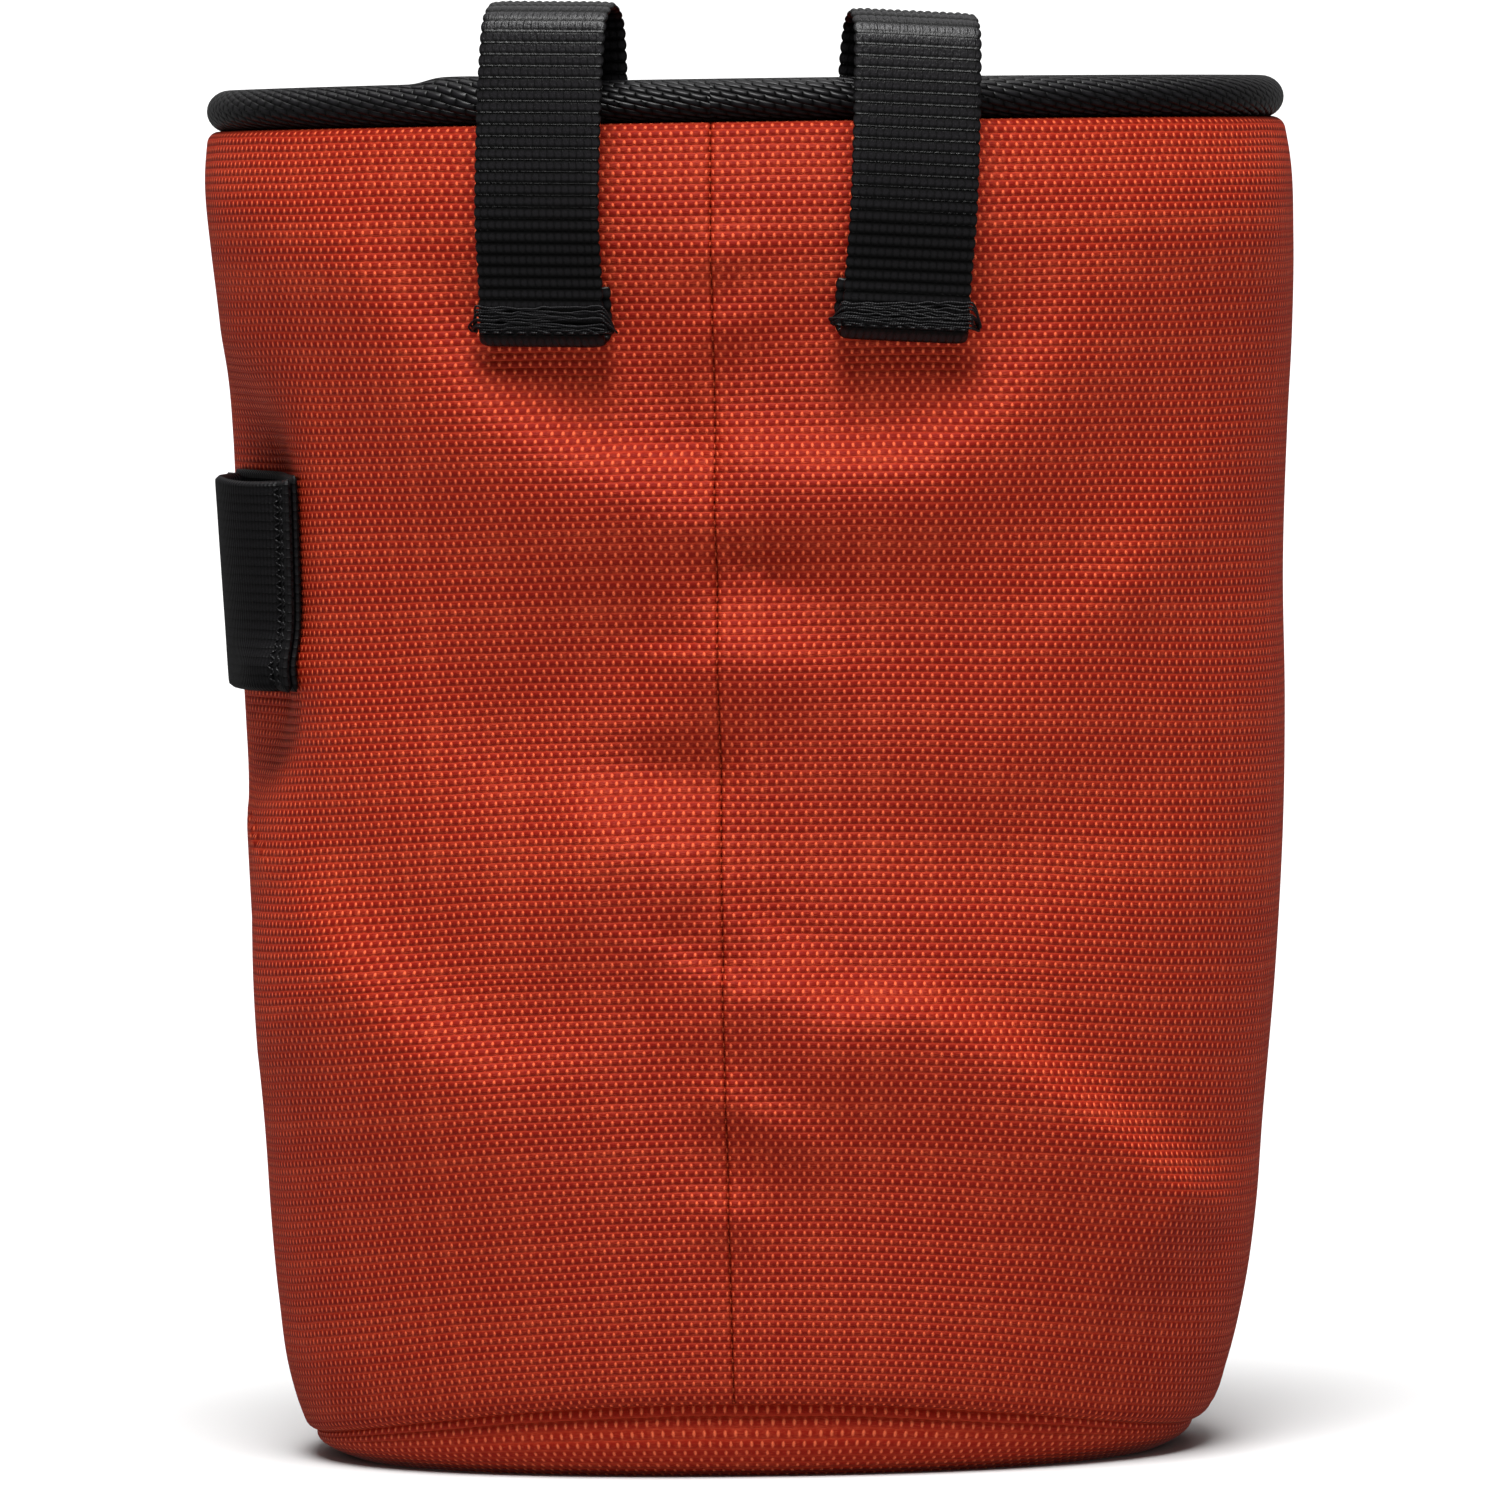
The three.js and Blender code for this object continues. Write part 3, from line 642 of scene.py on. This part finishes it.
edge = turned_edge(SEAM_ROUND, SEAM_ALLOWANCE, 7)
half_turns = np.linspace(0, math.pi, ANGLES)
half_runs = {}
for side in (1, -1):
    rings = [plain_point(FRONT_SEAM + side * half_turns, HEM_HEIGHT * level)[0] for level in RUN_LEVELS]
    half_runs[side] = np.mean([run_lengths(ring[None], 1)[0] for ring in rings], axis=0)
front_columns = np.linspace(FACE_START, FACE_MIDDLE, 100)
back_columns = np.linspace(FACE_MIDDLE, 1, 30)[1:]
face_share = np.concatenate([front_columns, back_columns])


def half_columns(side):
    """Angles and depths of the columns from the seam round to the back, on one side of the bag."""
    runs = half_runs[side]
    near = np.linspace(SEAM_ROUND, face_share[0] * runs[-1], 12)[1:-1]
    distance = np.concatenate([edge[:, 0] + SEAM_GAP, near, face_share * runs[-1]])
    inset = np.concatenate([edge[:, 1], 0 * near, 0 * face_share])
    return FRONT_SEAM + side * np.interp(distance, runs, half_turns), inset


right_angle, right_depth = half_columns(1)
left_angle, left_depth = half_columns(-1)
angle = np.concatenate([right_angle, left_angle[-2::-1] + 2 * math.pi])
depth = np.concatenate([right_depth, left_depth[-2::-1]])

lip = turned_edge(LIP_ROUND, LEDGE, 6)
hem = turned_edge(HEM_ROUND, LEDGE, 8)[::-1]
middle_rows = np.linspace(0, 1, 132)[1:-1]


def body_points():
    """Rows run up from the turned-in bottom edge, columns round from the seam to the seam."""
    low = seam_height(angle)[None, :]
    start = low + LIP_ROUND
    end = HEM_HEIGHT - HEM_ROUND
    z = np.concatenate([
        low + lip[:, :1],
        start + (end - start) * middle_rows[:, None],
        end + HEM_ROUND - hem[:, :1] + 0 * low,
    ])
    inset = np.concatenate([lip[:, 1], 0 * middle_rows, hem[:, 1]])[:, None]
    return form_point(angle[None, :], z, inset + depth[None, :])


points = body_points()
front_share = np.clip(-points[..., 1] / (MOUTH_DEPTH / 2), 0, 1)
near_hem = ease(points[..., 2], HEM_HEIGHT - HEM_LIFT_BELOW, HEM_HEIGHT)
points[..., 2] += HEM_LIFT * front_share * near_hem
body = lay_cloth("body_cloth", points, measured_spots(points), body_finish)
select_only(body)
bpy.ops.object.modifier_add(type="SOLIDIFY")
body.modifiers[-1].thickness = WALL
body.modifiers[-1].offset = -1
bpy.ops.object.modifier_apply(modifier=body.modifiers[-1].name)
wrap_up(body, "bag_body")

# %% [markdown]
# The base is a shallow dish of the same cloth, painted lighter than the body's as painted light. It
# starts deep in the slit under the body, bulges out below it and rounds onto the floor. Its inside goes
# back up to the same slit, so the piece is closed.

# %% Base
BASE_WALL = 1.2 * MM
BASE_LIP = 2.4 * MM
BASE_TUCK = 2.3 * MM
BASE_ROUND = 1.6 * MM
BASE_COLUMNS = 300


def base_points():
    angle = np.linspace(FRONT_SEAM, FRONT_SEAM + 2 * math.pi, BASE_COLUMNS + 1)[None, :]
    seam = seam_height(angle)
    front = abs(np.sin(angle)) ** 2
    tuck = BASE_TUCK * (0.45 + 0.55 * front)
    rise = np.array([0, 0.04, 0.1, 0.18, 0.28, 0.4, 0.52, 0.64, 0.76, 0.86, 0.94, 1.0])[:, None]
    bulge = tuck * rise ** 2.2 + BASE_ROUND * (1 - rise) ** 3
    outer = form_point(angle, seam * rise, bulge)
    lip_out = form_point(angle, seam + BASE_LIP, tuck)
    lip_in = form_point(angle, seam + BASE_LIP, tuck + BASE_WALL)
    inner = form_point(angle, np.maximum(seam * rise[::-1], BASE_WALL), bulge[::-1] + BASE_WALL)
    flat = np.array([0.02, 0.2, 0.4, 0.6, 0.75, 0.87, 0.95])[:, None, None]
    floor_rows = outer[:1] * flat
    inside_rows = inner[-1:] * flat[::-1]
    floor_rows[..., 2] = 0
    inside_rows[..., 2] = BASE_WALL
    centre_low = 0 * floor_rows[:1]
    centre_high = centre_low + np.array([0, 0, BASE_WALL])
    return np.concatenate([
        centre_low, floor_rows, outer, lip_out, lip_in, inner, inside_rows, centre_high,
    ])


points = base_points()
base = lay_cloth("base_cloth", points, measured_spots(points), lit_base_finish)
wrap_up(base, "base_panel")
base_low, base_high = points[..., :2].min((0, 1)), points[..., :2].max((0, 1))
tuple(float(x) for x in base_high - base_low)

# %% [markdown]
# The rim is a roll of twill tape, bound over a stiff ring. Its section is an oval, swept along the hem.
# The ring stands a little higher at the front and dips at the sides, and it swells where the two ends
# of the tape lap over each other beside the left belt loop.

# %% Rim binding
RIM_WIDTH = 5.6 * MM
RIM_HEIGHT = 5.1 * MM
RIM_PROUD = 0.1 * MM
RIM_CENTRE = 159.7 * MM
RIM_DIP = 0.5 * MM
RIM_TILT = 0.6 * MM
LAP_X = -29.5 * MM
LAP_LENGTH = 9 * MM
LAP_RISE = 0.8 * MM
RIM_COLUMNS = 480
RIM_SIDES = 28


def rim_points():
    angle = np.linspace(FRONT_SEAM, FRONT_SEAM + 2 * math.pi, RIM_COLUMNS + 1)[None, :]
    turn = np.linspace(0, 2 * math.pi, RIM_SIDES + 1)[:, None]
    inset = RIM_WIDTH / 2 * (1 - np.cos(turn)) - RIM_PROUD
    ring = form_point(angle, np.full_like(angle * turn, HEM_HEIGHT), inset)
    lap = np.exp(-(((ring[..., 0] - LAP_X) / (LAP_LENGTH / 2)) ** 4)) * (ring[..., 1] < 0) * LAP_RISE
    middle = RIM_CENTRE - RIM_DIP * np.cos(angle) ** 2 - RIM_TILT * np.sin(angle)
    ring[..., 2] = middle + (RIM_HEIGHT / 2 + lap * (np.sin(turn) > 0)) * np.sin(turn)
    return ring


points = rim_points()
rim = lay_cloth("rim_tape", points, measured_spots(points), rim_finish)
wrap_up(rim, "rim_binding")

# %% [markdown]
# A belt loop is one strap of ribbed webbing. It starts in a turned-under end on the front, runs up past
# the rim, folds over and goes down inside the mouth. The route is drawn from the side, as distances
# out of the cloth and heights, and made smooth. The strap's own section then runs along it. Its ribs
# are real: each weft row swells the section, so the edges are scalloped as the photograph shows.

# %% Smooth routes
def smooth_route(points, count):
    """Evenly spaced points on a centripetal curve through the given ones."""
    p = np.array(points, float)
    p = np.concatenate([2 * p[:1] - p[1:2], p, 2 * p[-1:] - p[-2:-1]])
    fine = []
    for a, b, c, d in zip(p, p[1:], p[2:], p[3:]):
        t0 = 0
        t1 = t0 + math.sqrt(np.linalg.norm(b - a))
        t2 = t1 + math.sqrt(np.linalg.norm(c - b))
        t3 = t2 + math.sqrt(np.linalg.norm(d - c))
        t = np.linspace(t1, t2, 24, endpoint=False)[:, None]
        ab = (t1 - t) / (t1 - t0) * a + (t - t0) / (t1 - t0) * b
        bc = (t2 - t) / (t2 - t1) * b + (t - t1) / (t2 - t1) * c
        cd = (t3 - t) / (t3 - t2) * c + (t - t2) / (t3 - t2) * d
        abc = (t2 - t) / (t2 - t0) * ab + (t - t0) / (t2 - t0) * bc
        bcd = (t3 - t) / (t3 - t1) * bc + (t - t1) / (t3 - t1) * cd
        fine.append((t2 - t) / (t2 - t1) * abc + (t - t1) / (t2 - t1) * bcd)
    fine = np.concatenate(fine + [p[-2:-1]])
    run = run_lengths(fine[None], 1)[0]
    at = np.linspace(0, run[-1], count)
    return np.stack([np.interp(at, run, fine[:, k]) for k in range(p.shape[1])], axis=-1), run[-1]


# %% Belt loops
WEBBING_WIDTH = 15 * MM
WEBBING = 1.3 * MM
LOOP_DROP = 24.6 * MM
LOOP_END_FOLD = 7 * MM
LOOP_INSIDE = 10 * MM
BELT_ROOM = 2.4 * MM
BELT_BELOW_HEM = 9 * MM
LOOP_OFF_RIM = 2.6 * MM
LOOP_OFF_CLOTH = 0.1 * MM
SCALLOP = 0.22 * MM
EDGE_FACE = 0.993
ROWS_IN_RIB = 6
COLUMNS_IN_BUMP = 4
RIB_SHARE = 0.62
BUMP_SHARE = 0.5
SMOOTH_END = 2 * MM

Loop = namedtuple("Loop", "name node x rise lean peek")
LOOPS = [
    Loop("belt_strap_left", "belt_loop_left", -18.8 * MM, 9.9 * MM, math.radians(1), -0.6 * MM),
    Loop("belt_strap_right", "belt_loop_right", 22.9 * MM, 8.2 * MM, math.radians(3.7), 0.7 * MM),
]


def loop_route(seat, out, lean, rise):
    """Route of the strap's middle line as (distance out of the seat, height above the hem)."""
    across = np.cross(out, [0, 0, 1])

    def distances(z, inset):
        aside = across[0] * np.linspace(-0.6, 0.6, 5) * WEBBING_WIDTH
        x = seat[0] + math.tan(lean) * (z - HEM_HEIGHT) + aside
        return (form_point(front_angle(x, z), z, inset) - seat) @ out

    def outside(z):
        return distances(z, 0).max() + WEBBING / 2 + LOOP_OFF_CLOTH

    end = HEM_HEIGHT - LOOP_DROP
    fold_top = end + LOOP_END_FOLD
    start = HEM_HEIGHT - LOOP_INSIDE
    inner = distances(HEM_HEIGHT, RIM_WIDTH - RIM_PROUD).min() - WEBBING / 2
    outer = distances(HEM_HEIGHT, 0).max() + LOOP_OFF_RIM + WEBBING / 2
    crown = RIM_CENTRE + RIM_HEIGHT / 2 + rise - WEBBING / 2
    radius = (outer - inner) / 2
    bevel = radius * (1 - math.sqrt(0.5))
    belt = HEM_HEIGHT - BELT_BELOW_HEM
    turn = end + WEBBING * 0.9
    inside = start + LOOP_INSIDE / 2
    route = [
        (outside(fold_top), fold_top),
        (outside(turn + 2 * MM), turn + 2 * MM),
        (outside(turn), turn),
        (outside(end) + WEBBING * 0.55, end + WEBBING / 2),
        (outside(turn) + WEBBING * 1.1, turn),
        (outside(fold_top) + WEBBING, fold_top),
        (outside(belt) + BELT_ROOM, belt),
        (outer, crown - radius),
        (outer - bevel, crown - bevel),
        (inner + radius, crown),
        (inner + bevel, crown - bevel),
        (inner, crown - radius),
        (inner, RIM_CENTRE),
        (distances(inside, WALL).min() - WEBBING / 2, inside),
        (distances(start, WALL).min() - WEBBING / 2, start),
    ]
    return [(n, z - HEM_HEIGHT) for n, z in route]


def strap_points(route, peek):
    """Closed skin of the ribbed strap along a flat route: (out, across, up) points, their map and the
    line of its outer face from the turned end upwards."""
    length = smooth_route(route, 2)[1]
    line, length = smooth_route(route, round(length / RIB_PITCH) * ROWS_IN_RIB + 1)
    number = np.arange(len(line))
    tangent = np.gradient(line, axis=0)
    tangent /= np.linalg.norm(tangent, axis=1, keepdims=True)
    side = np.stack([tangent[:, 1], -tangent[:, 0]], axis=-1)
    turn = int(np.argmin(line[:, 1]))
    from_turn = (number - turn) * length / (len(line) - 1)
    woven = (1 - np.exp(-((from_turn / SMOOTH_END) ** 4)))[:, None]

    bumps = round(WEBBING_WIDTH / RIB_BUMP)
    inner_places = np.linspace(-1, 1, bumps * COLUMNS_IN_BUMP + 1)
    places = np.concatenate([
        inner_places[:1], [-EDGE_FACE], inner_places[1:-1], [EDGE_FACE], inner_places[-1:],
    ])
    face = np.concatenate([places, places[-2::-1]])
    upper = np.concatenate([np.ones(len(places)), -np.ones(len(places) - 1)])
    upper[[0, -1, len(places) - 1]] = 0

    rib = abs(np.sin(np.pi * number / ROWS_IN_RIB))[:, None] ** 0.8
    phase = np.pi * face * bumps / 2
    bump = (abs(np.cos(phase)) ** 0.8 * (0.9 + 0.1 * np.cos(phase)))[None, :]
    rib_share = RIB_SHARE * woven
    swell = 1 - rib_share + rib_share * rib * (1 - BUMP_SHARE + BUMP_SHARE * bump)
    half = WEBBING / 2 * (1 - abs(face) ** 14) ** 0.5
    ends = np.sqrt(np.clip(np.minimum(number, number[::-1]) / 3, 0, 1))[:, None]
    lift = swell * (half * upper)[None, :] * ends
    across = (WEBBING_WIDTH / 2 - SCALLOP * (1 - rib) * woven) * face[None, :]
    across = across + peek * (1 - ease(from_turn, -SMOOTH_END, 0))[:, None]

    flat = line[:, None, :] + side[:, None, :] * lift[..., None]
    points = np.stack([flat[..., 0], across, flat[..., 1]], axis=-1)
    along = RIB_PITCH * number[:, None] / ROWS_IN_RIB + 0 * across
    steps = np.abs(np.diff(face, prepend=face[0])) * bumps / 2 * RIB_BUMP
    spots = np.stack([np.cumsum(steps)[None, :] + 0 * across, along], axis=-1)
    return points, spots, (line + side * WEBBING / 2)[turn:]


def place_loop(points, seat, out, lean):
    """Sets (out, across, up) points on the bag, leaning sideways about the seat."""
    across = np.cross(out, [0, 0, 1])
    n, w, h = points[..., 0], points[..., 1], points[..., 2]
    w, h = w * math.cos(lean) - h * math.sin(lean), h * math.cos(lean) + w * math.sin(lean)
    return seat + n[..., None] * out + w[..., None] * across + h[..., None] * np.array([0, 0, 1])


def tube_points(path, radius, lean_on, sides=6):
    """Round thread along a path, closed at both ends; lean_on is a direction the path never takes."""
    tangent = np.gradient(path, axis=0)
    tangent /= np.linalg.norm(tangent, axis=1, keepdims=True)
    aside = np.cross(tangent, lean_on)
    aside /= np.linalg.norm(aside, axis=1, keepdims=True)
    above = np.cross(aside, tangent)
    turn = np.linspace(0, 2 * math.pi, sides + 1)[None, :, None]
    number = np.arange(len(path))
    thick = (radius * np.clip(np.minimum(number, number[::-1]) / 2, 0, 1))[:, None, None]
    return path[:, None, :] + thick * (np.cos(turn) * aside[:, None, :] + np.sin(turn) * above[:, None, :])


straps = {}
for loop in LOOPS:
    seat, out = plain_point(front_angle(loop.x, HEM_HEIGHT), HEM_HEIGHT)
    points, spots, face_line = strap_points(loop_route(seat, out, loop.lean, loop.rise), loop.peek)
    strap = lay_cloth(loop.name, place_loop(points, seat, out, loop.lean), spots, strap_finish)
    wrap_up(strap, loop.node)
    straps[loop.name] = (loop, seat, out, face_line)

# %% [markdown]
# Each belt loop is held by a dense row of stitches across its turned end. One thread runs to and fro
# over the webbing and dives into the body cloth beside both edges, where it leaves a small tuft. Below
# it a row of short lock stitches shows. The threads are real round tubes, because they stand proud.

# %% Stitches of the belt loops
THREAD = 0.13 * MM
TACK_PASSES = 11
TACK_LOW = 1.9 * MM
TACK_HIGH = 4.5 * MM
TUFT_REACH = 1.3 * MM
LOCK_PITCH = 1.5 * MM
LEAN_OUT = np.array([1.0, 0.02, 0.03])


def tack_path(face_line, dice):
    """Way of the thread as (out, across, up) points, to and fro between two tufts."""
    end = face_line[:, 1].min()
    rising = face_line[:, 1].argmin()
    front = face_line[rising:rising + 60]
    stops = []
    for k in range(TACK_PASSES):
        level = end + TACK_LOW + (TACK_HIGH - TACK_LOW) * ((k * 5) % TACK_PASSES) / (TACK_PASSES - 1)
        slope = dice.uniform(-0.5, 0.5) * MM
        sides = np.linspace(-1, 1, 16) * (1 if k % 2 else -1)
        for side in sides:
            up = level + slope * side + dice.uniform(-0.14, 0.14) * MM
            out = np.interp(up, front[:, 1], front[:, 0]) + THREAD * dice.uniform(0.1, 1.1)
            stops.append((out, side * WEBBING_WIDTH * 0.505, up))
        tuft = sides[-1] * (WEBBING_WIDTH / 2 + TUFT_REACH * dice.uniform(0.6, 1.1))
        stops.append((out - 1.3 * MM, tuft, end + TACK_LOW + dice.uniform(-0.4, 0.6) * MM))
        stops.append((out - 1.7 * MM, tuft * 0.96, end + TACK_LOW + dice.uniform(-0.4, 0.6) * MM))
    return smooth_route(stops, 1400)[0]


def lock_path(face_line):
    """A row of lock stitches: the thread comes up and dives again at even steps."""
    end = face_line[:, 1].min()
    rising = face_line[:, 1].argmin()
    front = face_line[rising:rising + 60]
    aside = np.linspace(-0.48, 0.48, 400) * WEBBING_WIDTH
    up = end + TACK_LOW - 0.25 * MM + 0 * aside
    wave = np.sin(math.pi * aside / LOCK_PITCH) ** 2 * 0.42 * MM - 0.2 * MM
    return np.stack([np.interp(up, front[:, 1], front[:, 0]) + wave, aside, up], axis=-1)


def add_thread(name, node, points):
    thread = lay_cloth(name, points, measured_spots(points), stitch_finish)
    wrap_up(thread, node)
    return thread


for name, (loop, seat, out, face_line) in straps.items():
    dice = np.random.default_rng(len(name))
    tack = tube_points(tack_path(face_line, dice), THREAD, LEAN_OUT)
    lock = tube_points(lock_path(face_line), THREAD * 1.15, LEAN_OUT)
    side = name.split("_")[-1]
    add_thread("tack_thread_" + side, loop.node, place_loop(tack, seat, out, loop.lean))
    add_thread("lock_thread_" + side, loop.node, place_loop(lock, seat, out, loop.lean))

# %% [markdown]
# The brush loop is a band of elastic, sewn flat at both ends and bowed in between, so that a brush
# handle slides in behind it. A second layer lies on the cloth. Seen from above it is one closed route.

# %% Brush loop
ELASTIC = 1.2 * MM
BACKING = 0.9 * MM
BRUSH_SEWN_END = 3.4 * MM
BRUSH_ROOM = 6.0 * MM
BRUSH_OFF_CLOTH = 0.25 * MM
TOP_DIP = 0.4 * MM
BACKING_PEEK = 0.4 * MM
BAND_COLUMNS = 100
BAND_ROWS = 60


def band_places(share, height, rise):
    """Angles around the form and levels of places on the band, its top edge being lower by the rise."""
    z = BRUSH_TOP - BRUSH_WIDTH * (1 - height) - rise * height ** 6
    angle = np.empty(np.broadcast_shapes(share.shape, z.shape))
    for row, level in enumerate(z.mean(axis=1)):
        angle[row] = angles_along(level, front_angle(BRUSH_START_X, level), -share[0] * BRUSH_LENGTH)
    return angle, z + 0 * angle


def bow_out(share, height):
    """How far the band bows out of the cloth: nothing at its sewn ends, and a little less at its foot."""
    sewn = BRUSH_SEWN_END / BRUSH_LENGTH
    t = np.clip((share - sewn) / (1 - 2 * sewn), 0, 1)
    return BRUSH_ROOM * (0.8 + 0.2 * height) * np.sin(math.pi * t) ** 0.8


def band_points(thickness, offset, bowed, rise):
    """Closed skin of one layer of elastic: up its outer face and down its inner one."""
    share = np.linspace(0, 1, BAND_COLUMNS + 1)[None, :]
    height = np.linspace(0, 1, BAND_ROWS + 1)[:, None]
    rounding = np.sqrt((1 - abs(2 * share - 1) ** 40) * (1 - abs(2 * height - 1) ** 40))
    angle, z = band_places(share, height, rise(share))
    middle = BRUSH_OFF_CLOTH + offset + thickness / 2 + bowed * bow_out(share, height)
    outer = form_point(angle, z, -(middle + thickness / 2 * rounding))
    inner = form_point(angle, z, -(middle - thickness / 2 * rounding))
    return np.concatenate([outer, inner[-2::-1]])


def outer_rise(share):
    return TOP_DIP * np.sin(math.pi * np.clip(share * 1.9, 0, 1))


def backing_rise(share):
    return 0 * share - BACKING_PEEK


points = band_points(ELASTIC, BACKING, 1, outer_rise)
brush = lay_cloth("brush_band", points, measured_spots(points), band_finish)
wrap_up(brush, "brush_loop")
points = band_points(BACKING, 0, 0, backing_rise)
backing = lay_cloth("brush_backing", points, measured_spots(points), band_finish)
wrap_up(backing, "brush_loop")

# %% [markdown]
# The band is sewn down with two columns of zigzag stitches near its front end, and two more at its back
# end. Their thread is a real tube as well, so it catches the light in small dashes.

# %% Stitches of the brush loop
COLUMNS_IN = (1.5 * MM, 3.5 * MM)
COLUMN_PLACES = [*COLUMNS_IN, BRUSH_LENGTH - COLUMNS_IN[1], BRUSH_LENGTH - COLUMNS_IN[0]]
ZIG_PITCH = 1.35 * MM
ZIG_REACH = 0.42 * MM
ZIG_DIVE = 0.1 * MM


def column_path(place):
    """Zigzag of the thread up the band, so far from the band's front end."""
    height = np.linspace(0.03, 0.96, 500)
    turns = height * BRUSH_WIDTH / ZIG_PITCH * math.pi
    aside = place + ZIG_REACH * np.arcsin(np.sin(2 * turns)) * 2 / math.pi
    share = aside / BRUSH_LENGTH
    z = BRUSH_TOP - BRUSH_WIDTH * (1 - height)
    angle = np.array([
        angles_along(level, front_angle(BRUSH_START_X, level), -s) for level, s in zip(z, aside)
    ])
    dive = ZIG_DIVE * np.cos(4 * turns)
    proud = BRUSH_OFF_CLOTH + BACKING + ELASTIC + bow_out(share, height) + dive
    return form_point(angle, z, -proud)


across_band = plain_point(brush_start, BRUSH_MIDDLE)[1]
for number, place in enumerate(COLUMN_PLACES):
    column = tube_points(column_path(place), THREAD, across_band)
    add_thread(f"band_thread_{number}", "brush_loop", column)

# %% [markdown]
# The bag stands on a plain pale floor, as in a small studio. One broad soft light comes from above and
# in front, steep enough to draw the folds. A weaker one behind and a pale surround fill the shadows.

# %% Floor and light
FLOOR_SPAN = 200
FLOOR_GREY = 0.46
KEY_TURN = 0.0
KEY_RISE = math.radians(67)
KEY_SPREAD = math.radians(32)
KEY_POWER = 8.0
BACK_POWER = 1.3
SURROUND = 0.18

bpy.ops.object.select_all(action="DESELECT")
bpy.ops.mesh.primitive_plane_add(size=FLOOR_SPAN, location=(0, 0, 0))
floor = bpy.context.object
floor.name = "floor"
floor_colour = (FLOOR_GREY, FLOOR_GREY, FLOOR_GREY, 1)
floor_finish = Finish("pale_floor", roughness=0.9, base_color=floor_colour, specular_ior_level=0.1)
floor.data.materials.append(floor_finish.material)
floor.visible_glossy = False

world = bpy.data.worlds.new("studio")
bpy.context.scene.world = world
world.use_nodes = True
world.node_tree.nodes["Background"].inputs["Color"].default_value = (1, 1, 1, 1)
world.node_tree.nodes["Background"].inputs["Strength"].default_value = SURROUND


def soft_sun(name, turn, rise, spread, power):
    """A broad far light: turn is its place around the bag from the front, rise its height."""
    bpy.ops.object.light_add(type="SUN", rotation=(math.pi / 2 - rise, 0, turn))
    light = bpy.context.object
    light.name = name
    light.data.angle = spread
    light.data.energy = power


soft_sun("key", KEY_TURN, KEY_RISE, KEY_SPREAD, KEY_POWER)
soft_sun("back", KEY_TURN + math.pi, KEY_RISE, 2 * KEY_SPREAD, BACK_POWER)
bpy.context.scene.view_settings.view_transform = "Standard"
